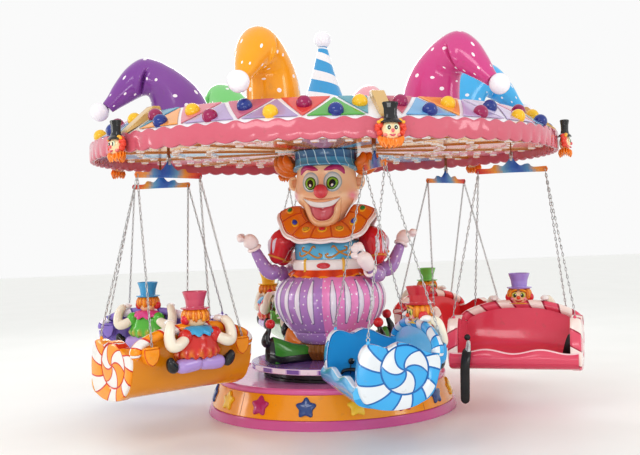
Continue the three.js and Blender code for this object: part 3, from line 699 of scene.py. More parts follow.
face = {
    "upper": [(-0.158, 1.815), (-0.11, 1.795), (-0.055, 1.783), (0.0, 1.779), (0.055, 1.783), (0.11, 1.795),
        (0.158, 1.815)],
    "lower": [(0.124, 1.768), (0.103, 1.73), (0.092, 1.68), (0.055, 1.634), (0.0, 1.62), (-0.055, 1.634),
        (-0.092, 1.68), (-0.103, 1.73), (-0.124, 1.768)],
    "teeth": [(0.115, 1.768), (0.078, 1.744), (0.0, 1.731), (-0.078, 1.744), (-0.115, 1.768)],
    "tongue": [(-0.081, 1.735), (-0.075, 1.68), (-0.046, 1.643), (0, 1.633), (0.046, 1.643), (0.075, 1.68),
        (0.081, 1.735), (0.028, 1.728), (0, 1.718), (-0.028, 1.728)],
    "chin": [(0.167, 1.812), (0.138, 1.755), (0.12, 1.7), (0.099, 1.64), (0.057, 1.604), (0, 1.593),
        (-0.057, 1.604), (-0.099, 1.64), (-0.12, 1.7), (-0.138, 1.755), (-0.167, 1.812)],
    "brow": [(0.026, 2.05), (0.075, 2.066), (0.125, 2.078), (0.164, 2.06), (0.188, 2.018)],
    "eye": [  # half width and height, middle, rows of scale and lift, colour, material
        (0.074, 0.086, 0.094, 1.95, [(1, -0.004), (1, 0.003), (0.9, 0.006), (0.5, 0.009), (0.1, 0.01)],
            "a9bdc4", 0),
        (0.066, 0.077, 0.094, 1.95, [(1, 0.004), (0.97, 0.009), (0.7, 0.014), (0.1, 0.016)], "d8e4e0", 0),
        (0.05, 0.059, 0.089, 1.937, [(1, 0.01), (0.97, 0.0165), (0.1, 0.019)], "3f6e22", 1),
        (0.043, 0.051, 0.089, 1.936, [(1, 0.015), (0.96, 0.0195), (0.1, 0.022)], "8fc63c", 1),
        (0.028, 0.041, 0.087, 1.93, [(1, 0.018), (0.95, 0.0225), (0.1, 0.025)], "0d0f0d", 1),
        # the last row is a small white dot on the pupil: a painted highlight
        (0.011, 0.013, 0.085, 1.914, [(1, 0.022), (0.9, 0.0262), (0.1, 0.028)], "ffffff", 1)]}
headTable = curve(head["rows"], 80)


def headRadii(z):
    return np.interp(z, headTable[:, 0], headTable[:, 1]), np.interp(z, headTable[:, 0], headTable[:, 2])


def faceRelief(x, z):
    # soft round bumps and dents: each is a bell curve of the place's distance from its middle
    return sum(lift * np.exp(-((np.abs(x) - x0) / wide) ** 2 - ((z - z0) / tall) ** 2)
               for lift, x0, z0, wide, tall in head["bumps"])


def faceFront(x, z):
    # the front of the head: an ellipse's depth at each height, plus the relief
    wide, deep = headRadii(z)
    level = np.sqrt(np.clip(1 - (x / wide) ** 2, 0.002, 1))
    return np.stack([x, -(deep * level + faceRelief(x, z)), z], -1)


def buildHead():
    form, both = Form(figureBoth[0]), Form(*figureBoth)
    z = np.linspace(head["rows"][0][0], head["rows"][-1][0], 90)[:, None]
    a = turns(180)[None, :]
    wide, deep = headRadii(z)
    x, level = wide * np.sin(a), np.cos(a)
    y = -np.sign(level) * (deep * np.abs(level) + faceRelief(x, z) * np.clip(np.abs(level) * 3, 0, 1))
    x0, wide, z0, tall = head["blush"]
    blush = np.exp(-((np.abs(x[:-1]) - x0) / wide) ** 2 - ((z[:-1] - z0) / tall) ** 2)[..., None]
    form.add(joined(x, y, z), np.array(peach) * (1 - blush) + np.array(tone(head["cheek"])) * blush)
    addFace(both)
    middle, radii, hollowShade = head["earHollowShade"]
    for side in (-1, 1):
        rim = curve(head["ear"], 26) * (side, 1, 1)
        form.add(limb(rim, np.full(26, 0.017), 26, 12), peach)
        # a darker peach blob inside each ear rim: painted shade in the ear's hollow
        form.add(blob(np.array(middle) * (side, 1, 1), radii), tone(hollowShade))
    form.make("clownHead", [shell], "rotor", "skin_shell", "two_faced_head")
    eyeGloss = glossy("eyeGloss", gloss=0.05, grime=0.0)
    both.make("clownFace", [shell, eyeGloss], "rotor", "skin_shell", crease=60)


def addFace(form):
    def badge(outline, centre, rows, colour, mark=0):
        form.add(patch(faceFront, outline, rows, centre), colour, mark)

    def ridge(points, count, half, lift, around, colour):
        line = stroke(faceFront, curve(points, count), tapered(count, *half), tapered(count, *lift), around)
        form.add(line, tone(colour))

    form.add(blob(head["nose"][:3], (head["nose"][3],) * 3, 16, 28), tone(head["noseRed"]))
    upper = face["upper"]
    opening = soften(curve(upper + face["lower"], 60, closed=True), 0.002, closed=True)
    badge(opening - (0, 1.72), (0, 1.72),
          [(1, -0.004), (1, 0.0015), (0.93, 0.0035), (0.6, 0.004), (0.2, 0.004)], tone(head["mouth"]))
    badge(curve(face["tongue"], 44, closed=True) - (0, 1.69), (0, 1.69),
          [(1, 0.002), (0.98, 0.006), (0.85, 0.011), (0.5, 0.014), (0.1, 0.014)], tone(head["tongue"]))
    badge(curve(upper + face["teeth"], 60, closed=True) - (0, 1.762), (0, 1.762),
          [(1, 0.002), (0.97, 0.008), (0.88, 0.012), (0.5, 0.014), (0.1, 0.014)], white)
    ridge(np.array(upper) + (0, 0.01), 30, (0.013,), (0.018,), 12, head["lip"])
    ridge(face["chin"], 50, (0.022, 0.2), (0.024, 0.2), 14, head["lowerLip"])
    for side in (-1, 1):
        for halfWidth, halfHeight, x, z, rows, colour, mark in face["eye"]:
            badge(ovalOutline(halfWidth, halfHeight), (x * side, z), rows, tone(colour), mark)
        ridge(np.array(face["brow"]) * (side, 1), 24, (0.022, 0.3, 0.2), (0.012, 0.3), 10, head["brow"])


hatBand = {"low": 2.094, "high": 2.232, "wide": 0.276, "deep": 0.308, "side": 0.045, "blue": "4b9fc6",
    "shadeUnderCeiling": "2b6a9a", "stripe": "b4dbea", "around": 160,
    "rows": [(0.0, 0.9), (0.0, 1.0), (0.03, 1.045), (0.1, 1.055), (0.18, 1.03), (0.3, 1.0), (0.5, 0.99),
        (0.8, 1.0), (0.93, 1.02), (1.0, 1.0), (1.0, 0.5)]}


def buildHat():
    # an oval band whose lower edge dips towards the ears, with a rolled rim
    h = hatBand
    a = turns(h["around"])[None, :]
    share, scale = levels(h["rows"])
    low = h["low"] - h["side"] * np.sin(a) ** 6
    across, along = h["wide"] * scale * np.sin(a), -h["deep"] * scale * np.cos(a)
    grid = joined(across, along, low + (h["high"] - low) * share)
    form = Form(figureBoth[0])
    # the upper half and the top of the band are painted darker blue: painted shade under the ceiling
    form.add(grid, shades(len(share) - 1, h["around"], tone(h["blue"]), (6, None, tone(h["shadeUnderCeiling"]))), 1)
    striping = glossy("hatStripes", striped(20, 0.9, 0.1, h["stripe"]))
    form.make("clownHatBand", [shell, striping], "rotor", "teal_shell", "figure_hat")


hairTuft = {"orange": "e0761a",
    "paths": [  # start, sweep and tip of the locks on the +x side, thickest radius
        ([(0.255, 0.0, 2.078), (0.34, 0.0, 2.064), (0.412, 0.0, 2.108), (0.444, 0.0, 2.2)], 0.052, (1,)),
        ([(0.262, 0.046, 2.1), (0.326, 0.056, 2.096), (0.376, 0.058, 2.136), (0.396, 0.052, 2.206)], 0.048,
            (-1, 1)),
        ([(0.262, 0.086, 2.116), (0.302, 0.092, 2.116), (0.334, 0.092, 2.154), (0.342, 0.086, 2.208)], 0.04,
            (-1, 1))]}


def buildHair():
    for side, word in ((-1, "right"), (1, "left")):
        form = Form(figureBoth[0])
        for points, thick, copies in hairTuft["paths"]:
            for copy in copies:
                form.add(limb(np.array(points) * (side, copy, 1),
                              [thick * 0.8, thick * 1.05, thick, thick * 0.45], 30, 18, flat=1.1),
                         tone(hairTuft["orange"]))
        form.make(f"sweptHair{word.title()}", [shell], "rotor", "shoe_orange_shell", f"hair_{word}")


collar = {"panels": 14, "inner": 0.214, "outer": 0.424, "thick": 0.02, "orange": "f08a1e", "frame": "cf5a10",
    "trim": "f8f0ee", "gems": ["cc1626", "c9a81c", "1f44b8", "16963c"], "gemHalf": (0.041, 0.033),
    "gemFrame": "f8c93a", "gemBed": "a86a1c", "around": 280, "metre": 0.32,
    # share from the inner to the outer edge, and half thicknesses above the middle
    "section": [(0, 0), (0.1, 1), (0.3, 1), (0.5, 1), (0.7, 1), (0.9, 1), (0.985, 0.9), (1.0, 0.4),
        (1.0, -0.3), (0.95, -0.6), (0.5, -0.6), (0.1, -0.5)],
    "neck": [(0.04, 1.56), (0.22, 1.56), (0.22, 1.588), (0.04, 1.6)]}


def collarSurface(u, v):
    # u is the angle from the front times 0.32 m, v the share from the inner to the scalloped outer edge
    angle = -u / collar["metre"]
    side = np.abs(np.sin(angle))
    scallop = 0.012 * np.abs(np.cos(angle * collar["panels"] / 2)) * v
    radius = collar["inner"] + (collar["outer"] - collar["inner"]) * v * 0.985 + scallop * 0.5
    low = 1.59 + 0.15 * side ** 4
    high = 1.462 + 0.236 * side ** 5
    height = low + (high - low) * v + 0.02 * np.sin(halfTurn * np.clip(v, 0, 1)) - scallop
    return wheel(radius, angle, height)


def buildCollar():
    c = collar
    form = Form(figureBoth[0])
    around = c["metre"] * fullTurn
    u = np.linspace(0, around, c["around"], endpoint=False)
    share, lift = np.array(c["section"]).T
    top = c["thick"] * 0.5
    number = np.arange(len(share))[:, None]
    trimmed = (number > 4) & (number < 9)
    flat = joined(u[:, None], share[None, :])
    form.add(lay(collarSurface, flat, lift * top + 0 * flat[..., 0]),
             np.where(trimmed, tone(c["trim"]), tone(c["orange"])), ring=True)

    def cord(path, lift, wire, sides, colour, closed):
        line = lay(collarSurface, joined(*path), np.full(len(joined(*path)), lift))
        form.add(tube(line, wire, sides, closed=closed), tone(colour), ring=closed)
    cord((u, 1.03), -0.006, 0.015, 10, c["trim"], True)
    form.add(lathe(c["neck"], 60), tone(c["orange"]))
    for v in (0.1, 0.93):
        cord((u, v), top, 0.006, 8, c["frame"], True)
    wide, tall = c["gemHalf"]
    for k in range(c["panels"]):
        seam = ((k + 0.5) * around / c["panels"], np.linspace(0.08, 0.96, 12))
        cord(seam, top, 0.0065, 8, c["frame"], False)
        gem = c["gems"][min(k % 7, 7 - k % 7)]
        for scale, rows, colour in (
                (1.0, [(1, 0.004), (1, top + 0.006), (0.8, top + 0.009), (0.1, top + 0.009)], c["gemFrame"]),
                (0.8, [(1, top + 0.004), (0.95, top + 0.012), (0.1, top + 0.013)], c["gemBed"]),
                (0.68, [(1, top + 0.008), (0.9, top + 0.016), (0.5, top + 0.021), (0.1, top + 0.022)], gem)):
            outline = ovalOutline(wide * scale, tall * scale / 0.25, 20)
            form.add(patch(collarSurface, outline, rows, (k * around / c["panels"], 0.52)), tone(colour))
    form.make("jewelCollar", [shell], "rotor", "collar_shell", "collar", crease=50)


jacket = {"blue": "5cb6dd", "gold": "cf8f3c", "belt": "f3eeea", "loop": "eab838",
    "peplum": "ea5a1c", "peplumFoldShade": "c93a18", "peplumEdge": "f0962a", "buckle": "cf2430",
    "buckleBar": "e8566a", "lobes": 14,
    "body": [(0.2, 1.205), (0.292, 1.215), (0.298, 1.34), (0.298, 1.43), (0.178, 1.5), (0.178, 1.5697)],
    "strap": [(0.28, 1.198), (0.312, 1.196), (0.32, 1.212), (0.32, 1.272), (0.312, 1.29), (0.28, 1.293)],
    # share of the peplum's depth, and of its thickness inwards
    "hem": [(0, 0), (0.25, 0), (0.5, 0), (0.75, 0), (0.95, 0), (1.0, 0.5), (0.97, 1), (0.6, 1), (0.0, 1)],
    "curls": [
        [(-0.185, 1.398), (-0.207, 1.392), (-0.205, 1.37), (-0.178, 1.362), (-0.14, 1.35), (-0.1, 1.325),
            (-0.06, 1.309), (-0.028, 1.312), (-0.018, 1.33), (-0.034, 1.338)],
        [(-0.07, 1.388), (-0.084, 1.404), (-0.104, 1.394), (-0.125, 1.365), (-0.165, 1.34), (-0.215, 1.322),
            (-0.246, 1.33), (-0.244, 1.35)]]}


def jacketSurface(u, z):
    # u is the angle from the front times 0.30 m; the radius steps out over the belt
    radius = np.interp(z, [1.13, 1.19, 1.2, 1.285, 1.3, 1.31], [0.335, 0.325, 0.319, 0.319, 0.302, 0.298])
    return wheel(radius, u / 0.3, z + 0 * u)


def buildJacket():
    j = jacket
    form, trim = Form(figureBoth[0]), Form(*figureBoth)
    form.add(lathe(soften(j["body"], 0.03), 120), tone(j["blue"]))
    form.add(lathe(soften(j["strap"], 0.006), 120), tone(j["belt"]))
    a = turns(240)[None, :]
    v, under = levels(j["hem"])
    under = under * 0.012
    wave = np.cos(j["lobes"] * a)
    radius = 0.315 + 0.045 * v - under + 0.007 * v * wave
    z = 1.203 - (0.048 + 0.026 * np.cos(a) ** 2) * v + 0.011 * v * wave - under * 0.4
    # the peplum is painted darker in the troughs between its lobes: painted shade in the folds
    hue = (0.5 + 0.5 * wave)[..., None] * np.ones((len(v) - 1, 1, 1))
    paints = np.array(tone(j["peplum"])) * hue + np.array(tone(j["peplumFoldShade"])) * (1 - hue)
    paints[3:6] = tone(j["peplumEdge"])
    form.add(wheel(radius, a, z), paints)
    form.make("jacketBody", [shell], "rotor", "blue_shell", "jacket_and_belt")
    for points in j["curls"]:
        for side in (-1, 1):
            path = curve(np.array(points) * (side, 1), 44)
            trim.add(stroke(jacketSurface, path, tapered(44, 0.0085, 0.15, 0.5), 0.008), tone(j["gold"]))
            trim.add(blob(jacketSurface(*path[-1]), (0.011, 0.006, 0.011), 6, 10), tone(j["gold"]))
    for side in (-1, 1):
        loop = joined(side * 0.165, np.linspace(1.188, 1.298, 10))
        trim.add(stroke(jacketSurface, loop, 0.012, 0.009), tone(j["loop"]))
    rows = [(1, -0.002), (1, 0.008), (0.9, 0.014), (0.82, 0.014), (0.76, 0.011), (0.1, 0.013)]
    trim.add(patch(jacketSurface, ovalOutline(0.054, 0.026, 40), rows, (0, 1.24)), tone(j["buckle"]))
    bar = curve([(-0.02, 1.24), (0, 1.24), (0.02, 1.24)], 10)
    trim.add(stroke(jacketSurface, bar, 0.007, 0.018), tone(j["buckleBar"]))
    trim.make("jacketTrim", [shell], "rotor", "blue_shell", crease=60)


trousers = {
    "rows": [(0.262, 0.5655), (0.3, 0.6), (0.33, 0.648), (0.345, 0.668), (0.385, 0.715), (0.44, 0.8),
        (0.474, 0.88), (0.48, 0.95), (0.466, 1.02), (0.425, 1.085), (0.365, 1.135), (0.33, 1.15)],
    "ankle": [(0.1, 0.4205), (0.225, 0.4205), (0.262, 0.47), (0.278, 0.5), (0.262, 0.562), (0.12, 0.5665)],
    "purple": "b48aca", "pink": "ee94ce", "frill": "8f5a1c", "flute": "e8e4f0", "fluteEdge": "8a7ea2",
    "flutes": 24, "low": 0.755, "high": 1.118, "half": 0.025, "edge": 0.004, "metre": 0.47}
trouserTable = curve(trousers["rows"], 120)


def trouserSurface(u, z):
    # u is the angle from the front times 0.47 m; a groove in front and behind parts the legs
    angle = u / trousers["metre"]
    radius = np.interp(z, trouserTable[:, 1], trouserTable[:, 0])
    groove = np.exp(-(radius * np.sin(angle) / 0.035) ** 2) * np.clip((1.15 - z) / 0.1, 0, 1)
    return wheel(radius * (1 - 0.06 * groove), angle, z + 0 * u)


def buildTrousers():
    t = trousers
    form, leaf = Form(figureBoth[0]), Form(figureBoth[0])
    around = fullTurn * t["metre"]
    z = np.concatenate([np.linspace(0.566, 0.655, 10), [0.661, 0.665, 0.669, 0.675],
                        np.linspace(0.69, 1.1495, 40)])[:, None]
    u = np.linspace(0, around, 240, endpoint=False)
    flat = joined(u[None, :], z)
    seam = -0.008 * np.exp(-((z - 0.665) / 0.004) ** 2) + 0 * u[None, :]
    angle = (u + u[1] / 2) / t["metre"]
    purple = (np.sin(angle) * -np.cos(angle) > 0)[None, :, None]
    paints = np.where(purple, tone(t["purple"]), tone(t["pink"]))
    form.add(lay(trouserSurface, flat, seam), paints, 1, span=(around, 0.6))
    ankle = lathe(soften(t["ankle"], 0.012), 200, lambda a, p: 0.01 * np.cos(40 * a) * (p[:, :1] > 0.2))
    form.add(ankle, tone(t["frill"]))
    dots = glossy("dottedTrousers", dotted(14.5, 0.1))
    form.make("puffTrousers", [shell, dots], "rotor", "purple_shell", "trousers")
    for k in range(t["flutes"]):
        centre = (k + 0.78 if k % 12 < 6 else k + 0.22) * fullTurn / t["flutes"] * t["metre"]
        line = joined(centre, np.linspace(t["low"], t["high"], 30))
        for path, half, lift, colour in ((line, t["half"] + t["edge"], 0.007, t["fluteEdge"]),
                                         (line[1:-1], t["half"], 0.012, t["flute"])):
            leaf.add(stroke(trouserSurface, path, tapered(len(path), half, 0.4, 0.35), lift), tone(colour))
    leaf.make("silverFlutes", [shell], "rotor", "purple_shell", crease=60)


arm = {"red": "d6202e", "flute": "e6dcea", "cuff": "d9862a", "glove": "fcf0ee", "purple": "b08aca",
    "dots": (17.0, 0.1), "hand": 1.45, "flutes": (-70, -35, 0, 35, 70), "wrist": (0.05, 0.014)}
armRows = {
    "raised": {
        "upper": [(0.28, -0.052, 1.462, 0.088), (0.398, -0.064, 1.452, 0.108), (0.44, -0.068, 1.345, 0.082),
            (0.47, -0.075, 1.26, 0.066)],
        "lower": [(0.462, -0.07, 1.25, 0.058), (0.485, -0.08, 1.185, 0.068), (0.54, -0.11, 1.215, 0.062),
            (0.59, -0.16, 1.32, 0.05), (0.622, -0.19, 1.4, 0.044)],
        "palm": [(0.62, -0.19, 1.395, 0.038), (0.64, -0.205, 1.445, 0.044), (0.676, -0.22, 1.478, 0.044),
            (0.706, -0.226, 1.494, 0.034)],
        "fingers": [((0.722, -0.25, 1.484), (0.752, -0.262, 1.498), 0.021),
            ((0.73, -0.226, 1.496), (0.762, -0.228, 1.514), 0.021),
            ((0.722, -0.202, 1.498), (0.75, -0.194, 1.52), 0.02),
            ((0.65, -0.228, 1.492), (0.64, -0.24, 1.52), 0.02)]},
    "bent": {
        "upper": [(0.28, -0.052, 1.462, 0.088), (0.398, -0.064, 1.448, 0.108), (0.43, -0.1, 1.33, 0.084),
            (0.446, -0.13, 1.235, 0.066)],
        "lower": [(0.446, -0.125, 1.225, 0.06), (0.45, -0.165, 1.15, 0.064), (0.43, -0.26, 1.16, 0.056),
            (0.398, -0.33, 1.195, 0.046)],
        "palm": [(0.402, -0.322, 1.19, 0.034), (0.382, -0.358, 1.242, 0.042), (0.35, -0.386, 1.3, 0.046),
            (0.322, -0.398, 1.345, 0.036)],
        "fingers": [((0.3, -0.402, 1.362), (0.252, -0.412, 1.398), 0.021),
            ((0.312, -0.402, 1.374), (0.276, -0.412, 1.424), 0.021),
            ((0.334, -0.398, 1.376), (0.31, -0.408, 1.434), 0.02),
            ((0.302, -0.396, 1.318), (0.246, -0.408, 1.332), 0.02)]}}


def addArm(form, rows, side):
    def part(name):
        table = np.array(rows[name])
        return table[:, :3] * (side, 1, 1), table[:, 3]

    def cuff(centre, axis, radius, wire, colour):
        form.add(tube(ringAround(centre, axis, radius), wire, 10, closed=True), tone(colour), ring=True)
    upper, radii = part("upper")
    form.add(limb(upper, radii, 34, 24), tone(arm["red"]))
    path = curve(np.column_stack([upper, radii]), 60)
    for turn in arm["flutes"]:  # flutes down the outer side of the puffed sleeve
        lean = math.radians(turn)
        out = unit(np.array([side * math.cos(lean), math.sin(lean), 0.25]))
        line = path[16:44, :3] + out * (path[16:44, 3:] * 0.93)
        form.add(limb(line, tapered(28, 0.019, 0.5, 0.2), 26, 10), tone(arm["flute"]))
    cuff(path[46, :3], path[48, :3] - path[44, :3], path[46, 3] * 0.97, 0.011, arm["cuff"])
    lower, radii = part("lower")
    form.add(limb(lower, radii, 34, 22), tone(arm["purple"]), 1, span=(0.36, 0.45))
    palm, radii = part("palm")
    form.add(limb(palm, radii * arm["hand"], 24, 18, flat=0.75), tone(arm["glove"]))
    cuff(lower[-1], lower[-1] - lower[-2], *arm["wrist"], arm["glove"])
    for start, end, thick in rows["fingers"]:
        start, end = np.array(start) * (side, 1, 1), np.array(end) * (side, 1, 1)
        radii = np.array([1, 1.05, 0.95]) * thick * arm["hand"]
        form.add(limb([palm[-1] * 0.6 + start * 0.4, start, end], radii, 18, 12, up=(0, 0, 1)),
                 tone(arm["glove"]))


def ringAround(centre, axis, radius, count=28, aside=(0.2, 0.3, 0.9)):
    # a closed circle square to an axis, from the side away from a direction
    a = turns(count)[:, None]
    axis = unit(np.asarray(axis, float))
    first = unit(np.cross(axis, aside))
    return np.array(centre) + radius * (np.cos(a) * first + np.sin(a) * np.cross(axis, first))


def buildArms():
    sleeve = glossy("dottedSleeve", dotted(*arm["dots"]))
    for turn, word in enumerate(("right", "left")):
        form = Form(figureBoth[turn])
        addArm(form, armRows["raised"], -1)
        form.places = (figureBoth[1 - turn],)
        addArm(form, armRows["bent"], 1)
        form.make(f"clownArms{word.title()}", [shell, sleeve], "rotor", "red_shell", f"arms_{word}")


shoe = {"angle": 50, "heel": 0.136, "toe": 0.652, "half": 0.078, "floor": 0.4215, "sole": 0.494,
    "pom": ((0.6, 0, 0.76), 0.042), "toeCap": 0.585,
    "feet": (("right", -1, "3f8f2c", "green_shell"), ("left", 1, "e8861c", "shoe_orange_shell")),
    "instep": ([0.136, 0.2, 0.3, 0.4, 0.5, 0.58, 0.63, 0.652],
        [0.54, 0.555, 0.562, 0.585, 0.625, 0.655, 0.62, 0.55]),
    "curl": [(0.6, 0, 0.6), (0.638, 0, 0.61), (0.64, 0, 0.655), (0.618, 0, 0.7), (0.603, 0, 0.745)]}


def addShoe(form, colour):
    # a sole whose section is a rounded square, an upper that rises to the toe, and a curl with a pompom
    s = shoe
    length = s["toe"] - s["heel"]
    x = s["heel"] + length * (1 - np.cos(np.linspace(0, 1, 40) * halfTurn)) / 2
    oval = np.sqrt(np.clip(1 - np.abs(2 * (x - s["heel"]) / length - 1) ** 3.2, 0, 1))
    half = np.maximum(s["half"] * oval * (0.84 + 0.16 * ease(x, 0.25, 0.5)), 0.004)[:, None]
    a = turns(26)
    across, upright = (np.sign(wave) * np.abs(wave) ** 0.45 for wave in (np.cos(a), np.sin(a)))
    tall = (s["sole"] - s["floor"]) / 2 * np.clip(half / 0.02, 0.15, 1)
    middle = (s["floor"] + s["sole"]) / 2 + 0.035 * ease(x, 0.52, 0.66)[:, None]
    form.add(joined(x[:, None], half * across, middle + tall * upright), black)
    top = np.interp(x, *s["instep"])[:, None]
    arch = np.clip(np.sin(a), -0.35, 1)
    upper = joined(x[:, None], half * 0.94 * np.cos(a), s["sole"] - 0.01 + (top - s["sole"] + 0.01) * arch)
    form.add(upper, np.where((x[:-1] > s["toeCap"])[:, None, None], black, tone(colour)))
    form.add(limb(s["curl"], [0.05, 0.046, 0.032, 0.022, 0.018], 30, 16), black)
    form.add(blob(s["pom"][0], (s["pom"][1],) * 3, 14, 24), red)


def buildShoes():
    for turn, word in enumerate(("front", "back")):
        for foot, side, colour, slot in shoe["feet"]:
            form = Form(spoke(figureYaw + 180 * turn + side * shoe["angle"]))
            addShoe(form, colour)
            name = f"curledShoe{word.title()}{foot.title()}"
            form.make(name, [shell], "rotor", slot, f"shoe_{word}_{foot}")


buildTrousers()
buildJacket()
buildCollar()
buildHead()
buildHat()
buildHair()
buildArms()
buildShoes()

print("stage: canopy")

canopy = {"fascia": "cf6476", "fasciaUnderShade": "b23a54", "white": "f1eff2", "scallops": 84, "scallop": 0.014,
    "tan": "d6b070", "ridgeR": (1.992, 1.7), "ridgeZ": (2.285, 2.475), "domeR": 0.055, "domeLow": 0.1,
    "domeHigh": 0.222, "edge": 0.04, "strip": 0.015, "ribHalf": 0.052, "ribX": 0.046,
    "domes": ["9c1c58", "1d3688", "f2c01e"],
    "plates": [["5c9fb8", "f0a04a", "d9808f", "b9a3cc", "cc6a84", "b09ac4", "dd5048", "58ac48", "5b9fae"],
        ["c86074", "70aad6", "ef9c4c", "bfa9d0", "d8cce6", "c9b8dc", "d98ca4", "8cbcd8", "e0a850"]],
    # radius, and share of the height from the lower to the upper edge
    "section": [(1.955, 0.06), (1.968, 0.0), (1.982, 0.0), (1.99, 0.02), (1.994, 0.06), (1.996, 0.5),
        (1.994, 0.94), (1.99, 0.985), (1.982, 1.0), (1.97, 0.99), (1.955, 0.9)],
    "rib": [(-1.99, 2.29), (-1.985, 2.312), (-1.76, 2.506), (-1.7, 2.508), (-1.69, 2.478), (-1.7, 2.46)]}
(lowR, highR), (lowZ, highZ) = canopy["ridgeR"], canopy["ridgeZ"]
coneAngle = math.atan2(highZ - lowZ, lowR - highR)
coneLength = math.hypot(highZ - lowZ, lowR - highR)


def coneSurface(u, v):
    # u is an angle in degrees from -Y towards +X, divided by 30 so that a unit is about a metre
    # v runs upwards, in metres
    return wheel(lowR - v * math.cos(coneAngle), np.radians(u * 30), lowZ + v * math.sin(coneAngle))


def buildFascia():
    # every scallop bulges a little, and both edges follow its curve
    c = canopy
    low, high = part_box("fascia")
    n = c["scallops"] * 10
    a = turns(n)[None, :]
    swell = np.abs(np.sin(a * c["scallops"] / 2))
    radius, share = levels(c["section"])
    bottom = low.z + c["scallop"] * 1.4 * (1 - swell)
    top = high.z + 0.014 + c["scallop"] * 0.7 * np.cos(a * c["scallops"])
    form = Form()
    # the two lowest rows, under the lip, are painted a deeper pink: painted shade under the fascia
    form.add(wheel(radius + 0.004 * swell, a, bottom + (top - bottom) * share),
             shades(len(radius), n, tone(c["fascia"]), (0, 2, tone(c["fasciaUnderShade"]))), ring=True)
    form.make("scallopedFascia", [shell], "rotor", "fascia_shell", "fascia")


def triangleOutline(a, b, c, inset, count=9):
    # a triangle drawn in by an inset, with points along its sides
    corners = np.array([a, b, c], float)
    centre = corners.mean(0)
    sides = np.roll(corners, -1, 0) - corners
    normals = unit(np.stack([-sides[:, 1], sides[:, 0]], -1))
    normals *= np.sign(((centre - corners) * normals).sum(1))[:, None]
    offset = (corners * normals).sum(1) + inset
    inner = np.array([np.linalg.solve(np.stack([normals[k - 1], normals[k]]), [offset[k - 1], offset[k]])
                      for k in range(3)])
    t = np.linspace(0, 1, count, endpoint=False)[:, None]
    ring = np.vstack([inner[k] + (inner[(k + 1) % 3] - inner[k]) * t for k in range(3)])
    return ring - inner.mean(0), inner.mean(0)


def buildRoof():
    c = canopy
    form, ribs = Form(), Form(*[turnZ(60 * k) for k in range(6)])
    profile = [(1.9, 2.252), (1.966, 2.256), (lowR - 0.006, lowZ - 0.004), (highR, highZ - 0.004),
               (0.3, highZ - 0.002)]
    form.add(lathe(soften(profile, 0.012), 240), tone(c["white"]))
    step = 2 / 9
    middle = (lowR + highR) / 2 * math.radians(30)  # metres across one unit of the cone's first number
    scale = np.array([middle, 1])
    rows = [(1, -0.002), (1, 0.0035), *[(scale, 0.0045) for scale in (0.97, 0.8, 0.6, 0.4, 0.2)]]
    for sector in range(6):
        for n in range(9):
            up = n % 2 == 1
            spot = sector * 2 + (n + 0.5) * step
            left = max(spot - step, sector * 2 + c["ribHalf"] / middle)
            right = min(spot + step, sector * 2 + 2 - c["ribHalf"] / middle)
            foot, tip = c["edge"], coneLength + 0.008
            if not up:
                foot, tip = coneLength + c["strip"] - 0.004, c["edge"] - 0.01
            ring, centre = triangleOutline(
                (left * middle, foot), (right * middle, foot), (spot * middle, tip), c["strip"])
            form.add(patch(coneSurface, ring / scale, rows, centre / scale),
                     tone(c["plates"][(sector + 1) % 2][n]))
            centre = (left + right) / 2
            across = spot if 0 < n < 8 else centre + (spot - centre) * 0.5
            seat = np.array([[across, c["domeLow"] if up else c["domeHigh"]]])
            ball = lay(coneSurface, seat, np.array([0.012]))[0]
            form.add(blob(ball, (c["domeR"],) * 3, 14, 24), tone(c["domes"][n % 3]))
    side = soften(c["rib"], 0.01, closed=True)
    half = c["ribX"]
    across, tuck = np.array([(-half, 0.006), (0.0015 - half, 0.0015), (0.006 - half, 0), (half - 0.006, 0),
                             (half - 0.0015, 0.0015), (half, 0.006)]).T
    flat = side[None] - unit(side - side.mean(0))[None] * tuck[:, None, None]
    ribs.add(joined(across[:, None], flat[..., 0], flat[..., 1]), tone(c["tan"]))
    ribs.make("roofRibs", [shell], "rotor", "roof_panel", crease=30)
    form.make("roofPanels", [shell], "rotor", "roof_panel", "canopy_roof")


ceiling = {"bands": ["e28c24", "7cc8f0", "e28c24", "fab430", "e28c24", "f0503c", "e28c24", "f6a4b8"],
    "around": 192, "battens": 12, "batten": "b8701c", "battenHalf": 0.012, "glass": "dcae7c", "lampRows": 96,
    "lampRadii": ([1.88, 1.3], [1.6, 1.02]), "under": 0.043, "top": 2.2495,
    "lamp": [(0.034, 0.004), (0.036, -0.006), (0.0345, -0.012), (0.03, -0.015), (0.027, -0.013),
        (0.018, -0.019), (0.006, -0.021)]}


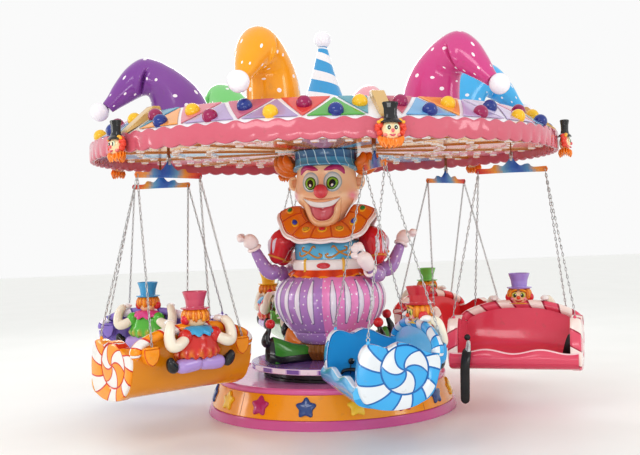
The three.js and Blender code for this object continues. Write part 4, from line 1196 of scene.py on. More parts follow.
def buildCeiling():
    c = ceiling
    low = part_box("fascia")[1].z - c["under"]
    form, lamps = Form(), Form()
    rows = [(0.2, low), (0.5, low), (1.0, low), (1.5, low), (1.94, low), (1.9777, low + 0.004),
            (1.9777, c["top"]), (1.5, c["top"]), (0.2, c["top"])]
    form.add(lathe(rows, c["around"]), [tone(c["bands"][(k + 4) // 8 % 8]) for k in range(c["around"])])
    for k in range(c["battens"]):  # round battens along the middle of every second brown band
        out = outwards(fullTurn * k / c["battens"])
        path = [out * r + (0, 0, low) for r in (0.45, 1.2, 1.965)]
        form.add(tube(path, c["battenHalf"], 8), tone(c["batten"]))
    form.make("ceilingPanel", [glossy("ceilingPaint", gloss=0.2)], "rotor", "ceiling_panel", "ceiling")
    # each lamp has a white rim; the dome's lower rows are painted tan, standing in for the orange ceiling seen
    # through the clear glass: painted light
    lamp, paints = lathe(c["lamp"], 12), shades(6, 12, tone("ffffff"), (4, None, tone(c["glass"])))
    for k in range(c["lampRows"]):
        out = outwards(fullTurn * (k + 0.5) / c["lampRows"])
        for radius in c["lampRadii"][k % 2]:
            lamps.add(lamp + out * radius + (0, 0, low), paints)
    glass = glossy("lampGlass", gloss=0.03, grime=0.0)
    lamps.make("ceilingLamps", [glass], "rotor", "ceiling_panel", crease=50)


lug = {"spoke": 1.612, "eyeZ": 2.135, "eye": 0.0058, "half": 0.015, "thick": 0.008, "top": 2.2345,
    "brown": "8a4c1e"}


def buildLugs():
    # plates under the ceiling with an eye each, which the shackles turn on
    lugs = Form(*[spoke(60 * k) for k in range(6)])
    a = turns(48)
    down = np.stack([np.sin(a), -np.cos(a)], -1)
    reach = np.where(down[:, 1] > 0, lug["half"] / np.maximum(np.abs(down[:, 0]), 0.16), lug["half"])
    rim = np.minimum(down * reach[:, None], (1, lug["top"] - lug["eyeZ"]))
    eye = down * lug["eye"]
    x = lug["thick"] / 2
    loops = [(rim, 0.001 - x), (rim * 0.94, -x), (eye, -x), (eye, x), (rim * 0.94, x), (rim, x - 0.001)]
    grid = np.stack([joined(lug["spoke"] + shift, points[:, 0], points[:, 1] + lug["eyeZ"])
                     for points, shift in loops])
    lugs.add(grid, tone(lug["brown"]), ring=True)
    lugs.make("ceilingLugs", [shell], "rotor", "ceiling_panel", crease=50)


rimHead = {"ruff": "f0861a", "hat": "101012", "smile": "d0486a", "pleats": 15, "middle": (0, -2.052, -0.028),
           # centre, radii, rows and columns, colour: in the middle, then on both sides
           "single": [((0, 0, 2.222), (0.064, 0.046, 0.074), 20, 32, "f8d6a8")],
           "pairs": [((0.044, -0.02, 2.19), (0.017, 0.018, 0.012), 10, 18, "f08a84"),
                     ((0.025, -0.038, 2.238), (0.0225, 0.008, 0.023), 8, 18, "dfe8c4"),
                     ((0.024, -0.0435, 2.237), (0.0125, 0.006, 0.0145), 8, 16, "0a0c0a"),
                     # a small white dot on each pupil: a painted highlight
                     ((0.024, -0.0485, 2.236), (0.0042, 0.003, 0.0045), 6, 10, "f2f0ee"),
                     *[((x, y, z), (size * 0.95, size * 1.1, size), 8, 14, "e2452a") for x, y, z, size in (
                         (0.074, 0.004, 2.256, 0.024), (0.092, 0.004, 2.232, 0.021),
                         (0.078, 0.0, 2.206, 0.023), (0.066, 0.01, 2.276, 0.02),
                         (0.094, 0.006, 2.252, 0.016))],
                     *[((x, -0.012, z), (size, size * 0.9, size * 0.8), 8, 14, "f6b42a") for x, z, size in (
                         (0.062, 2.286, 0.018), (0.084, 2.276, 0.015))]],
           "nose": [((0, -0.05, 2.216), (0.012, 0.011, 0.013), 8, 14, "e86a78")],
           "mouth": [(-0.022, -0.042, 2.192), (0, -0.047, 2.184), (0.022, -0.042, 2.192)],
           "ruffRows": [(0.35, 2.16), (0.66, 2.166), (0.92, 2.152), (1.0, 2.126), (0.92, 2.112),
                        (0.76, 2.124), (0.35, 2.138)],
           "hatRows": [(0.02, 2.278), (0.074, 2.27), (0.083, 2.274), (0.074, 2.286), (0.052, 2.3),
                       (0.044, 2.325), (0.046, 2.37), (0.056, 2.404), (0.052, 2.411), (0.02, 2.408)]}


def addBlobs(form, middle, rows, sides=(1,)):
    # balls from a table of centre, radii, rows, columns and colour, on one side or on both
    for side in sides:
        for centre, radii, tall, around, colour in rows:
            form.add(blob(np.array(centre) * (side, 1, 1) + middle, radii, tall, around), tone(colour))


def buildRimHeads():
    h = rimHead
    middle = np.array(h["middle"])
    for k in range(6):
        form = Form(turnZ(60 * k))
        addBlobs(form, middle, h["single"])
        addBlobs(form, middle, h["pairs"], (-1, 1))
        addBlobs(form, middle, h["nose"])
        smile = curve(np.array(h["mouth"]) + middle, 18)
        form.add(limb(smile, tapered(18, 0.006, 0.4, 0.3), 18, 8), tone(h["smile"]))
        a = turns(150)[None, :]
        share, z = levels(h["ruffRows"])
        wave = np.cos(h["pleats"] * a) * (share > 0.7)
        pleat = 1 + 0.1 * wave
        x = 0.086 * share * pleat * np.sin(a)
        y = middle[1] - 0.052 * share * pleat * np.cos(a)
        form.add(joined(x, y, z + (0.01 * wave + 3.4 * x ** 2) + middle[2]), tone(h["ruff"]))
        form.add(lathe(soften(h["hatRows"], 0.004), 48) * (1, 0.68, 1) + middle, tone(h["hat"]))
        form.make(f"rimHead{k + 1}", [shell], "rotor", "tan_shell", f"rim_head_{k + 1}")


roofHats = {"colours": ["cf4489", "46b4ea", "f4a6b0", "7fd07a", "82459a", "f2a206"],
    # x and z under the fold, x and z outside it, half width
    "sections": [(1.478, 2.4755, 0.985, 2.4755, 0.2), (1.484, 2.6, 1.02, 2.64, 0.192),
        (1.492, 2.668, 1.112, 2.79, 0.18), (1.504, 2.7, 1.262, 2.916, 0.168),
        (1.518, 2.712, 1.42, 3.0, 0.158), (1.54, 2.712, 1.556, 3.02, 0.148),
        (1.59, 2.692, 1.68, 2.94, 0.128), (1.664, 2.652, 1.782, 2.806, 0.098),
        (1.738, 2.612, 1.84, 2.704, 0.072), (1.802, 2.574, 1.88, 2.648, 0.05)],
    "fold": 0.46, "foldDepth": 0.056, "pom": ((1.908, 0, 2.574), 0.078), "pomWhite": "f2eff4",
    "cone": [(0.258, 2.4755), (0.246, 2.52), (0.158, 2.73), (0.094, 2.93), (0.05, 3.1), (0.04, 3.142)],
    "conePom": ((0, 0, 3.2085), 0.0735), "coneBlue": "3f9fd4", "coneWhite": "f2eff0"}


def hatGrid():
    # ellipses from the inner to the outer side of each section, with a fold pinched in across the bend
    rows = curve(roofHats["sections"], 90)
    a = turns(64)[None, :]
    inner, outer, half = rows[:, None, 0:2], rows[:, None, 2:4], rows[:, 4:]
    share = (1 - np.cos(a)) / 2
    t = np.linspace(0, 1, len(rows))[:, None]
    under = ease(1 - share, 0.22, 0.62)
    line = roofHats["fold"] + 0.16 * (1 - share)
    crease = np.exp(-((t - line) / 0.02) ** 2) - 0.5 * np.exp(-((t - line - 0.055) / 0.035) ** 2)
    wide = 1 - roofHats["foldDepth"] / 0.16 * crease * under
    flat = inner + (outer - inner) * share[..., None]
    return joined(flat[..., 0], half * wide * np.sin(a), flat[..., 1])


def buildRoofHats():
    h = roofHats
    dots = glossy("dottedHats", dotted(5.2, 0.085, "f6f0f2"))
    for k in range(6):
        form = Form(spoke(30 + 60 * k))
        form.add(hatGrid(), tone(h["colours"][k]), 1, span=(1.2, 1.15))
        form.add(blob(h["pom"][0], (h["pom"][1],) * 3, 18, 30), tone(h["pomWhite"]))
        form.make(f"bentHat{k + 1}", [shell, dots], "rotor", f"hat_{k + 1}_shell", f"bent_hat_{k + 1}")
    cone = Form()
    cone.add(lathe(curve(h["cone"], 60), 60), tone(h["coneWhite"]), 1)
    cone.add(blob(h["conePom"][0], (h["conePom"][1],) * 3, 18, 30), tone(h["pomWhite"]))
    spiral = glossy("spiralCone", striped(1, 5.2, 0.55, h["coneBlue"]))
    cone.make("centreConeHat", [shell, spiral], "rotor", "blue_shell", "centre_cone_hat")


buildFascia()
buildRoof()
buildCeiling()
buildLugs()
buildRimHeads()
buildRoofHats()

print("stage: gondolas")

pod = {"inner": 1.085, "outer": 2.15, "panel": 0.084, "inset": 0.02, "archDrop": 0.14, "archPower": 2.6,
    "lipWave": 0.017, "lipLobe": 0.44, "rollY": 0.282, "rollZ": 0.858, "rollForward": 0.02, "stripe": 0.062,
    "frontX": 0.486, "frontEye": (-0.212, 0.822), "rearX": 0.395, "rearEye": (0.332, 0.745), "eyeR": 0.012,
    "eyeWire": 0.0036, "swirlCentre": (0.02, 0.612), "swirlDisc": 0.163, "line": 0.0062, "edgeLean": 1.8,
    "pocket": {"front": 0.262, "deep": 0.08, "low": 0.612, "top": 0.745, "half": 0.066},
    "outside": [(-0.305, 0.528), (-0.332, 0.47), (-0.29, 0.392), (-0.12, 0.36), (0.09, 0.372), (0.215, 0.44),
        (0.268, 0.6), (0.3, 0.862)],
    "inside": [(0.264, 0.862), (0.23, 0.64), (0.17, 0.505), (0.08, 0.446), (-0.1, 0.432), (-0.225, 0.452),
        (-0.278, 0.528)],
    "wall": [(-0.29, 0.46), (-0.236, 0.386), (-0.12, 0.35), (0.02, 0.35), (0.134, 0.386), (0.216, 0.464),
        (0.261, 0.58), (0.272, 0.65), (0.26, 0.694), (0.226, 0.706), (0.184, 0.718), (0.126, 0.744),
        (0.066, 0.776), (-0.01, 0.79), (-0.092, 0.76), (-0.15, 0.778), (-0.212, 0.788), (-0.262, 0.75),
        (-0.292, 0.66), (-0.302, 0.56)],
    # the striped edge and the inside of an end wall: share of the reach, and depth
    "wallEdge": [(0.99, 0.076), (1.0, 0.066), (1.0, 0.056), (1.0, 0.038), (1.0, 0.018), (0.994, 0.006),
        (0.98, 0.0), (0.97, -0.001), (0.945, -0.001), (0.93, 0.001), (0.6, 0.001), (0.03, 0.001)],
    "rollEnd": [(0.485, 0.268, 0.73), (0.488, 0.264, 0.705), (0.488, 0.261, 0.678), (0.488, 0.258, 0.65)],
    "rollRadii": [0.016, 0.034, 0.042, 0.043] + [0.038] * 11 + [0.043, 0.042, 0.034, 0.016]}
podMiddle, podHalf = (pod["inner"] + pod["outer"]) / 2, (pod["outer"] - pod["inner"]) / 2
# seat colours: body (the outside and underside, a darker copy of the inside's paint as painted shade), inside,
# lower back, front lip, then two stripe colours and their outline
podColours = [dict(zip(("body", "inside", "back", "lip", "sweet"), row)) for row in (
    ("2f9ad6", "30a0dc", "7cc8ee", "58b9ea", ("dde2e6", "3aa8e2", "0f68ae")),
    ("d5405f", "e04e6a", "e24864", "e0506c", ("f7e6de", "e2536d", "a81e3e")),
    ("d8262e", "e23a40", "e23a40", "ea4a48", ("f8e4d6", "e63c40", "a81420")),
    ("58a83e", "6cba4a", "86cc5e", "7cc656", ("f4f2d8", "6cbc4a", "2c7426")),
    ("7a62b8", "8a74c6", "9c88d2", "9a86d0", ("f0e8f6", "8a74c6", "4c3a92")),
    ("dc8c00", "ee9a0c", "ee9a0c", "f2a214", ("eae7e2", "f2980a", "d23212")))]


def archDrop(x):
    return pod["archDrop"] * (np.abs(x - podMiddle) / podHalf) ** pod["archPower"]


def bendPod(points):
    # the backrest comes down towards its ends, and the front lip rises in two waves
    x, y, z = np.moveaxis(points, -1, 0)
    z = z - np.where(y > 0, archDrop(x) * np.clip((z - 0.56) / 0.3, 0, 1.4), 0)
    lobe = -np.cos(fullTurn * (x - podMiddle) / pod["lipLobe"])
    z = z + pod["lipWave"] * lobe * ease(z, 0.455, 0.525) * ease(-y, 0.18, 0.27)
    return np.stack([x, y, z], -1)


def buildPod(k):
    c = podColours[k]
    swirl = swirled(c["sweet"], pod["swirlCentre"], pod["swirlDisc"], 6, 14, pod["line"])
    rolled = candied(c["sweet"], 1.0, 0.07)
    finishes = [shell, glossy(f"sweetSwirl{k + 1}", swirl), glossy(f"candyRoll{k + 1}", rolled), zinc]
    form = Form(spoke(60 * k))
    addPan(form, c)
    addPanels(form, c)
    addRoll(form)
    addPockets(form, c)
    form.make(f"podShell{k + 1}", finishes, f"gondola_unit_{k + 1}", f"gondola_{k + 1}_shell",
              f"gondola_{k + 1}")


def addPan(form, c):
    # the seat pan: one section from end wall to end wall, with a paler rolled front lip
    section = np.vstack([curve(pod["outside"], 44), curve(pod["inside"], 40)])
    x = np.linspace(pod["inner"] + pod["inset"], pod["outer"] - pod["inset"], 61)
    number = np.arange(len(section))
    up = ease(section[:, :1], 0.08, 0.24)
    lining = tone(c["inside"]) * (1 - up) + tone(c["back"]) * up
    # the outside and underside take the body colour, painted darker than the inside as shade
    hues = np.where((number >= 44)[:, None], lining, tone(c["body"]))
    hues[(number < 9) | (number > 78)] = tone(c["lip"])
    # the outermost rows of the lip get a pale tint: a painted highlight along its edge
    hues[(number < 1) | (number > 82)] = np.array(tone(c["lip"])) * 0.4 + 0.6
    form.add(bendPod(joined(x[:, None], section[None, :, 0], section[None, :, 1])), hues)


def addPanels(form, c):
    # each end wall in rings round the swirl's middle
    # a raised disc, a puffed rim, a striped edge and a plain inside
    outline = curve(pod["wall"], 120, closed=True)
    centre = np.array(pod["swirlCentre"])
    reach = np.linalg.norm(outline - centre, axis=1)
    towards = (outline - centre) / reach[:, None]
    share = np.array([0.03, 0.15, 0.3, 0.5, 0.7, 0.85, 0.94, 1.0, 1.05, 1.15, 1.3, 1.5, 1.7, 1.86,
                      1.95])[:, None]
    disc, thick = pod["swirlDisc"], pod["panel"]
    radius = np.where(share <= 1, disc * share, disc + (reach - disc) * (share - 1))
    relief = np.where(share <= 1, 0.012 * np.sqrt(np.clip(1 - share ** 2, 0, 1)) - 0.005,
                      0.01 * np.sin(halfTurn * np.clip(share - 1, 0, 1)) ** 0.6 - 0.005)
    edge = np.array(pod["wallEdge"])
    depth = np.concatenate([thick + relief[:, 0], edge[:, 1]])
    flat = centre + towards * np.vstack([radius, edge[:, :1] * reach])[..., None]
    lean = np.clip(thick - depth, 0, 1)[:, None] * pod["edgeLean"]  # slants the stripes across the edge
    y, z = np.moveaxis(flat - centre, -1, 0)
    chart = centre + joined(y * np.cos(lean) - z * np.sin(lean), y * np.sin(lean) + z * np.cos(lean))
    inside, rows = len(share) + 6, len(depth) - 1
    # the inside's first row is painted pale, a painted highlight along the wall's edge, and the next one is a
    # dark outline
    pale = np.array(tone(c["inside"])) * 0.4 + 0.6
    paints = shades(rows, len(outline), tone(c["inside"]), (inside, inside + 1, pale),
                    (inside + 1, inside + 2, tone(c["sweet"][2])))
    # where the edge stands clear of the back
    paints[inside:inside + 2, outline[:, 0] > 0.2] = tone(c["body"])
    for start, side in ((pod["inner"] + thick, -1), (pod["outer"] - thick, 1)):
        grid = joined((start + side * depth)[:, None], flat[..., 0], flat[..., 1])
        for low, high, mark in ((0, inside, 1), (inside, rows, 0)):
            form.add(grid[low:high + 1], paints[low:high], mark, caps=(low == 0, high == rows), flip=side > 0,
                     chart=chart[low:high + 1])


def addRoll(form):
    # the roll on the backrest bends down into the end walls
    x = np.linspace(pod["inner"] + 0.085, pod["outer"] - 0.085, 11)
    drop = archDrop(x)
    arch = joined(x, pod["rollY"] - pod["rollForward"] * drop / pod["archDrop"], pod["rollZ"] - drop)
    ends = [np.array(pod["rollEnd"]) * (side, 1, 1) + (podMiddle, 0, 0) for side in (-1, 1)]
    path = np.vstack([ends[0][::-1], arch, ends[1]])
    length = np.linalg.norm(np.diff(path, axis=0), axis=1).sum()
    form.add(limb(path, pod["rollRadii"], 84, 20), mark=2, span=(1, length / pod["stripe"]))


def addPockets(form, c):
    # shield-shaped pockets behind the backrest, posts in front, and the wire eyes that the chains hold
    p = pod["pocket"]
    half, top, deep, low = p["half"], p["top"], p["deep"], p["low"]
    middle = (low + top) / 2
    right = [(half * 0.62, low + 0.028), (half * 0.98, middle + 0.015), (half, top)]
    points = [(-x, z) for x, z in right[::-1]] + [(0, low)] + right
    shield = soften([(x, z - middle) for x, z in points], 0.012, closed=True)
    rows = [(1.0, 0.0), (1.0, deep - 0.016), (0.97, deep - 0.006), (0.92, deep - 0.002), (0.9, deep - 0.005),
            (0.82, deep + 0.002), (0.4, deep + 0.006)]
    paints = shades(len(rows) - 1, len(shield), tone(c["sweet"][1]), (2, 4, tone(c["sweet"][2])))

    def eye(x, y, z):
        form.add(hoop((x, y, z), pod["eyeR"], pod["eyeWire"], (1, 0, 0)), mark=3, ring=True)
    for side in (-1, 1):
        x = podMiddle + side * pod["rearX"]
        form.add(dome(shield, rows, (x, p["front"], middle), (-1, 0, 0), (0, 0, 1)), paints)
        rim = [(x + half * share, p["front"] + deep * depth, top + lift) for share, depth, lift in (
            (-0.96, 0.72, 0), (-0.5, 1, 0.002), (0.5, 1, 0.002), (0.96, 0.72, 0))]
        form.add(limb(rim, [0.006, 0.008, 0.008, 0.006], 20, 10, up=(0, 0, 1)), tone(c["sweet"][1]))
        x = podMiddle + side * pod["frontX"]
        y, z = pod["frontEye"]
        form.add(limb([(x, y, z - 0.09), (x, y, z - 0.05), (x, y, z - 0.012)], [0.016, 0.015, 0.01], 10, 10),
                 tone(c["lip"]))
        eye(x, y, z - 0.006)
        y, z = pod["rearEye"]
        eye(podMiddle + side * pod["rearX"], y, z + 0.004)


def hoop(centre, radius, wire, axis, around=16, sides=6):
    # a wire ring round an axis
    return tube(ringAround(centre, axis, radius, around, (0.3, 0.5, 0.8)), wire, sides, up=axis, closed=True)


belts = {"black": "08080a",
    # path, radii, rows, columns, upward direction and flatness
    "pink": [
        ([(1.262, -0.352, 0.56), (1.252, -0.366, 0.5), (1.24, -0.372, 0.4), (1.236, -0.368, 0.26),
                (1.232, -0.362, 0.11)], [0.034, 0.037, 0.038, 0.038, 0.036], 24, 16, (0, 1, 0), 0.16),
        ([(1.27, -0.35, 0.622), (1.268, -0.356, 0.57), (1.262, -0.36, 0.51)], [0.014, 0.02, 0.024], 14, 12,
            (0, 1, 0), 0.3),
        ([(2.07, -0.21, 0.66), (2.056, -0.2, 0.6), (2.04, -0.18, 0.53), (2.02, -0.15, 0.456)],
            [0.02, 0.03, 0.034, 0.03], 20, 14, (0, 1, 0), 0.25)],
    "blue": [
        ([(1.18, -0.112, 0.53), (1.184, -0.116, 0.495), (1.19, -0.118, 0.452)], [0.004] * 3, 12, 8,
            (0, 1, 0), 1.0),
        ([(1.182, -0.19, 0.456), (1.19, -0.168, 0.482), (1.2, -0.112, 0.488), (1.23, -0.06, 0.48),
                (1.29, -0.03, 0.466), (1.37, -0.02, 0.456)], [0.018, 0.024, 0.027, 0.029, 0.028, 0.02], 30,
            14, (0, 0, 1), 0.55)]}


def buildBelts():
    # webbing with a steel buckle in the second gondola, and a strap with a cord in the first
    finishes = [glossy("blackWebbing", gloss=0.5, grime=0.2), zinc]
    webBlack = tone(belts["black"])
    strap, tongue, inner = belts["pink"]
    form = Form(spoke(60))
    form.add(limb(*strap), webBlack)
    form.add(limb(*tongue), mark=1)
    form.add(blob((1.256, -0.316, 0.64), (0.026, 0.02, 0.026), 10, 16), webBlack)
    form.add(limb(*inner), webBlack)
    form.make("beltPink", finishes, "gondola_unit_2", "black_steel")
    form = Form(spoke(0))
    form.add(blob((1.18, -0.107, 0.548), (0.012, 0.024, 0.024), 10, 16), webBlack)
    form.add(blob((1.19, -0.09, 0.556), (0.006, 0.008, 0.008), 6, 10), mark=1)
    for row in belts["blue"]:
        form.add(limb(*row), webBlack)
    form.make("beltBlue", finishes, "gondola_unit_1", "black_steel")


for number in range(6):
    buildPod(number)
buildBelts()

print("stage: back clowns")

backClown = {"y": 0.299, "flat": 0.62, "faceZ": 0.926, "hair": "f09a1e", "hairDark": "d87414",
    "sleeve": "efe6d2", "glove": "f4f0ec", "leg": "b79ad8", "hem": "f0a030", "hemLobes": 15, "ruffLobes": 11,
    "brow": "8a3a20", "smile": "c02a34",
    # hat, ruffle, shirt
    "wear": [("c42a34", "e8d04a", "d8303a"), ("a88fd4", "f0b43c", "d0406c"), ("76c858", "e86a9a", "e8b42c"),
        ("f0bc22", "5aa8d8", "d8303a"), ("3f9fd0", "d8458c", "58b83c"), ("c84a66", "3fa4d0", "cf2a22")],
    "shirt": [(0.1, 0.642), (0.16, 0.638), (0.188, 0.66), (0.186, 0.692), (0.17, 0.742), (0.15, 0.8),
        (0.1, 0.848)],
    "arm": [(0.12, 0.366, 0.796), (0.2, 0.38, 0.752), (0.254, 0.376, 0.75), (0.27, 0.366, 0.806),
        (0.254, 0.352, 0.872), (0.222, 0.312, 0.914)],
    "armRadii": [0.036, 0.044, 0.046, 0.041, 0.036, 0.032], "hand": (0.214, 0.284, 0.908),
    "fingers": ((0.03, -0.6), (0.036, -0.1), (0.034, 0.4)),
    "legPath": [(-0.02, 0.334, 0.606), (0.12, 0.34, 0.592), (0.215, 0.345, 0.59)],
    "shoe": [(0.2, 0.345, 0.588), (0.236, 0.352, 0.592), (0.262, 0.362, 0.628), (0.268, 0.366, 0.668)],
    "ruff": [(0.07, 0.872), (0.112, 0.862), (0.15, 0.834), (0.158, 0.812), (0.148, 0.806), (0.112, 0.834),
        (0.07, 0.846)],
    "hat": [(0.02, 0.986), (0.08, 0.986), (0.105, 0.994), (0.108, 1.002), (0.098, 1.004), (0.07, 1.0),
        (0.066, 1.012), (0.072, 1.06), (0.092, 1.12), (0.087, 1.122), (0.07, 1.075), (0.03, 1.068)],
    # centre from the face's middle, radii, rows and columns, colour
    "skull": [((0, 0, 0), (0.084, 0.08, 0.076), 20, 32, "f6cda2")],
    "pairs": [((0.033, -0.07, 0.012), (0.023, 0.009, 0.024), 10, 16, "dcd66a"),
        ((0.032, -0.076, 0.01), (0.016, 0.006, 0.018), 8, 14, "6a8a1e"),
        ((0.03, -0.08, 0.01), (0.011, 0.0045, 0.014), 8, 12, "050505"),
        # a small white dot on each pupil: a painted highlight
        ((0.026, -0.084, 0.016), (0.004, 0.002, 0.005), 6, 8, "f2f0ee")],
    "browPath": [(0.014, -0.074, 0.04), (0.032, -0.07, 0.046), (0.05, -0.058, 0.036)],
    "curls": [((0.052, -0.058, -0.022), (0.018, 0.012, 0.015), 10, 16, "f0909a"),
        ((0.088, 0.0, -0.01), (0.034, 0.036, 0.038), 14, 22, "d92230")],
    "nose": [((0, -0.088, -0.01), (0.017, 0.015, 0.015), 12, 18, "e8502e")],
    "mouth": [(-0.034, -0.066, -0.03), (-0.018, -0.072, -0.041), (0, -0.073, -0.044),
        (0.018, -0.072, -0.041), (0.034, -0.066, -0.03)],
    "fringe": [(0.006, -0.07, 0.062), (0.036, -0.074, 0.054), (0.062, -0.052, 0.036)],
    "strands": 22}


def restBack(points):
    # nothing of the body goes further forwards than the backrest's own thickness
    points = points.copy()
    line = np.where(points[..., 2] > 0.86, -9, 0.268 + (points[..., 2] - 0.62) * 0.1)
    points[..., 1] = np.maximum(points[..., 1], line)
    return points


def buildBackClown(k):
    c = backClown
    hatColour, ruffColour, shirtColour = (tone(code) for code in c["wear"][k])
    form = Form(lambda points: spoke(60 * k)(points + (podMiddle, 0, 0)))
    middle = np.array([0, c["y"], 0])
    a = turns(120)[None, :]
    radius, height = levels(curve(c["shirt"], 30))
    hem = ease(-height, -0.72, -0.66)
    wave = np.cos(c["hemLobes"] * a)
    body = wheel(radius + 0.01 * hem * wave, a, height + 0.012 * hem * wave, c["flat"]) + middle
    fleck = 0.5 * (hem * (0.5 + 0.5 * wave))[:-1, :, None]
    form.add(restBack(body), np.array(shirtColour) * (1 - fleck) + np.array(tone(c["hem"])) * fleck)
    for side in (-1, 1):
        mirror = (side, 1, 1)
        form.add(blob((0.128 * side, 0.352, 0.796), (0.056, 0.05, 0.06), 12, 20), shirtColour)
        form.add(limb(np.array(c["arm"]) * mirror, c["armRadii"], 36, 18), tone(c["sleeve"]))
        hand = np.array(c["hand"]) * mirror
        form.add(blob(hand, (0.036, 0.04, 0.024), 12, 20), tone(c["glove"]))
        for reach, turn in c["fingers"]:
            tip = hand + outwards(turn) * reach - (0, 0.012, 0.01)
            path = [hand, (hand + tip) / 2 + (0, 0, 0.004), tip]
            form.add(limb(path, [0.014, 0.014, 0.012], 12, 10, up=(0, 0, 1)), tone(c["glove"]))
        leg = limb(np.array(c["legPath"]) * mirror, [0.058, 0.056, 0.048], 26, 20)
        form.add(restBack(leg), tone(c["leg"]))
        foot = limb(np.array(c["shoe"]) * mirror, [0.044, 0.046, 0.036, 0.02], 26, 18)
        form.add(restBack(foot), black)
    radius, height = levels(curve(c["ruff"], 34))
    wave = 0.01 * ease(radius, 0.09, 0.15) * np.cos(c["ruffLobes"] * a)
    form.add(restBack(wheel(radius + wave, a, height - wave, 0.72) + middle), ruffColour)
    addClownHead(form, middle)
    form.add(lathe(soften(c["hat"], 0.004), 56) + middle, hatColour)
    form.make(f"backClown{k + 1}", [shell], f"gondola_unit_{k + 1}", f"clown_{k + 1}_shell",
              f"back_clown_{k + 1}")


def addClownHead(form, middle):
    c = backClown
    middle = middle + (0, 0, c["faceZ"])
    addBlobs(form, middle, c["skull"])
    for side in (-1, 1):
        addBlobs(form, middle, c["pairs"], (side,))
        brow = np.array(c["browPath"]) * (side, 1, 1) + middle
        form.add(limb(brow, [0.003, 0.0045, 0.003], 12, 8), tone(c["brow"]))
        addBlobs(form, middle, c["curls"], (side,))
    addBlobs(form, middle, c["nose"])
    form.add(limb(np.array(c["mouth"]) + middle, tapered(5, 0.006), 18, 8), tone(c["smile"]))
    for n in range(c["strands"]):  # strands from the brim down the sides and the back
        out = outwards(math.radians(52 + n * 256 / (c["strands"] - 1)))
        wide = 0.0115 + 0.002 * math.sin(n * 2.4)
        length = 0.066 + 0.012 * math.sin(n * 1.7 + 1)
        rows = [middle + out * reach + (0, 0, lift) for reach, lift in (
            (0.07, 0.066), (0.09, 0.03), (0.092, 0.066 - length), (0.078, 0.05 - length))]
        colour = c["hair"] if n % 2 else c["hairDark"]
        form.add(limb(rows, [wide, wide * 1.15, wide, wide * 0.5], 20, 10), tone(colour))
    for side in (-1, 1):  # a fringe parted over the face
        fringe = np.array(c["fringe"]) * (side, 1, 1) + middle
        form.add(limb(fringe, [0.01, 0.013, 0.009], 16, 10), tone(c["hair"]))


for number in range(6):
    buildBackClown(number)

print("stage: chains and spreader plates")

hanger = {"pivotR": 1.612, "lugZ": 2.135, "plateZ": 2.081, "endReach": 0.276, "endDrop": 0.088,
    "thick": 0.01, "pitch": 0.0305, "wire": 0.0033, "linkHalf": (0.007, 0.0122), "linkStraight": 0.0048,
    "ringR": 0.013, "ringWire": 0.0035, "mirrored": (2, 4),
    "rainbow": ["c8282e", "e2602a", "e8a23a", "6aa6c8", "2f6fc0", "2a5cb4", "5a9ac8", "e09a3c", "e07a20"],
    "edge": [(0.03, -0.012), (0.072, -0.05), (0.112, -0.04), (0.144, -0.04), (0.176, -0.066)]}


def chainLinks(form, start, end, mark):
    # oval wire links along a straight line, every second one turned a quarter
    start, end = np.array(start, float), np.array(end, float)
    count = round(np.linalg.norm(end - start) / hanger["pitch"])
    along = unit(end - start)
    side = unit(np.cross(along, (0, 1, 0.01)))
    across = np.cross(along, side)
    a = turns(12)[:, None]
    wide, tall = hanger["linkHalf"]
    length = tall * np.sin(a) + hanger["linkStraight"] * np.sign(np.sin(a))
    for number in range(count):
        middle = start + (end - start) * (number + 0.5) / count
        flat, up = (side, across) if number % 2 else (across, side)
        path = middle + wide * np.cos(a) * flat + length * along
        form.add(tube(path, hanger["wire"], 5, up=up, closed=True), mark=mark, ring=True)


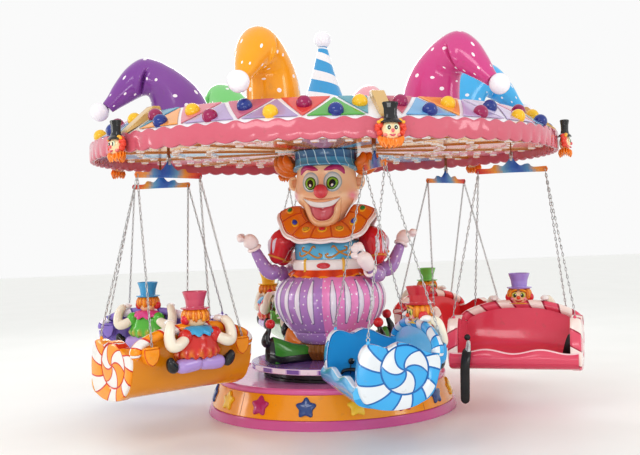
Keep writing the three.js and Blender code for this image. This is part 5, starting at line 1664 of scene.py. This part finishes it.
def buildHanger(k):
    # the spreader plate's outline, its two sides and its edge, then a ring and two chains at each end
    h = hanger
    form = Form(spoke(60 * k))
    reach, drop = h["endReach"], h["endDrop"]
    upper = [(reach + 0.021, -drop), (reach + 0.012, 0.019 - drop), (reach, 0.023 - drop), *h["edge"][::-1],
             (0.016, 0.01), (0.0, 0.018)]
    lower = [(-x, z) for x, z in upper[-2::-1]]
    right = [(0.14, -0.021), (reach, -0.023), (reach + 0.012, -0.019)]
    foot = [(x, z - drop) for x, z in [(-x, z) for x, z in right[::-1]] + [(0, -0.02)] + right]
    outline = curve(upper + lower + foot, 150, closed=True)
    spine = joined(outline[:, 0], -drop)
    rows = []
    for depth, pull in ((-1, 1.0), (-1, 0.04), (-0.75, 0.0), (0.75, 0.0), (1, 0.04), (1, 1.0)):
        flat = outline + (spine - outline) * pull
        rows.append(joined(flat[:, 0] + h["pivotR"], depth * h["thick"] / 2, flat[:, 1] + h["plateZ"]))
    colours = np.array([tone(code) for code in h["rainbow"]])
    if k in h["mirrored"]:
        colours = colours[::-1]
    place = np.clip((outline[:, 0] / reach + 1) / 2, 0, 1) * (len(colours) - 1)
    low = np.minimum(place.astype(int), len(colours) - 2)
    hue = colours[low] + (colours[low + 1] - colours[low]) * (place - low)[:, None]
    form.add(np.stack(rows), hue, caps=(False, False))
    for side in (-1, 1):
        x, z = h["pivotR"] + side * reach, h["plateZ"] - drop
        form.add(hoop((x, 0, z - 0.006), h["ringR"], h["ringWire"], (1, 0.001, 0)), mark=1, ring=True)
        for offset, word in ((-0.002, "front"), (0.002, "rear")):
            y, eyeZ = pod[f"{word}Eye"]
            chainLinks(form, (x, offset, z - 0.012), (podMiddle + side * pod[f"{word}X"], y, eyeZ + 0.01), 1)
    form.make(f"chains{k + 1}", [shell, zinc], f"gondola_unit_{k + 1}", "steel", f"hanger_{k + 1}")


def buildShackle(k):
    # two pairs of cheeks set crosswise on a block, each with its pin
    h = hanger
    form = Form(spoke(60 * k))
    x, middle, half, lug, plate = h["pivotR"], (h["lugZ"] + h["plateZ"]) / 2, 0.017, h["lugZ"], h["plateZ"]
    form.add(box((x - half, -half, middle - 0.006), (x + half, half, middle + 0.006)))
    for side in (-1, 1):
        for across, along, wide, deep, low, high in (
                (x + side * 0.01, 0, 0.003, 0.011, middle, lug + 0.011),
                (x, side * 0.011, 0.011, 0.003, plate - 0.011, middle)):
            form.add(box((across - wide, along - deep, low), (across + wide, along + deep, high)))
    form.add(limb([(x - half, 0, lug), (x, 0, lug), (x + half, 0, lug)], [0.005] * 3, 10, 10))
    form.add(limb([(x, -half, plate), (x, 0, plate), (x, half, plate)], [0.005] * 3, 10, 10, up=(1, 0, 0)))
    form.make(f"shackle{k + 1}", [zinc], f"clevis_{k + 1}", "steel", f"link_{k + 1}")


for number in range(6):
    buildHanger(number)
    buildShackle(number)
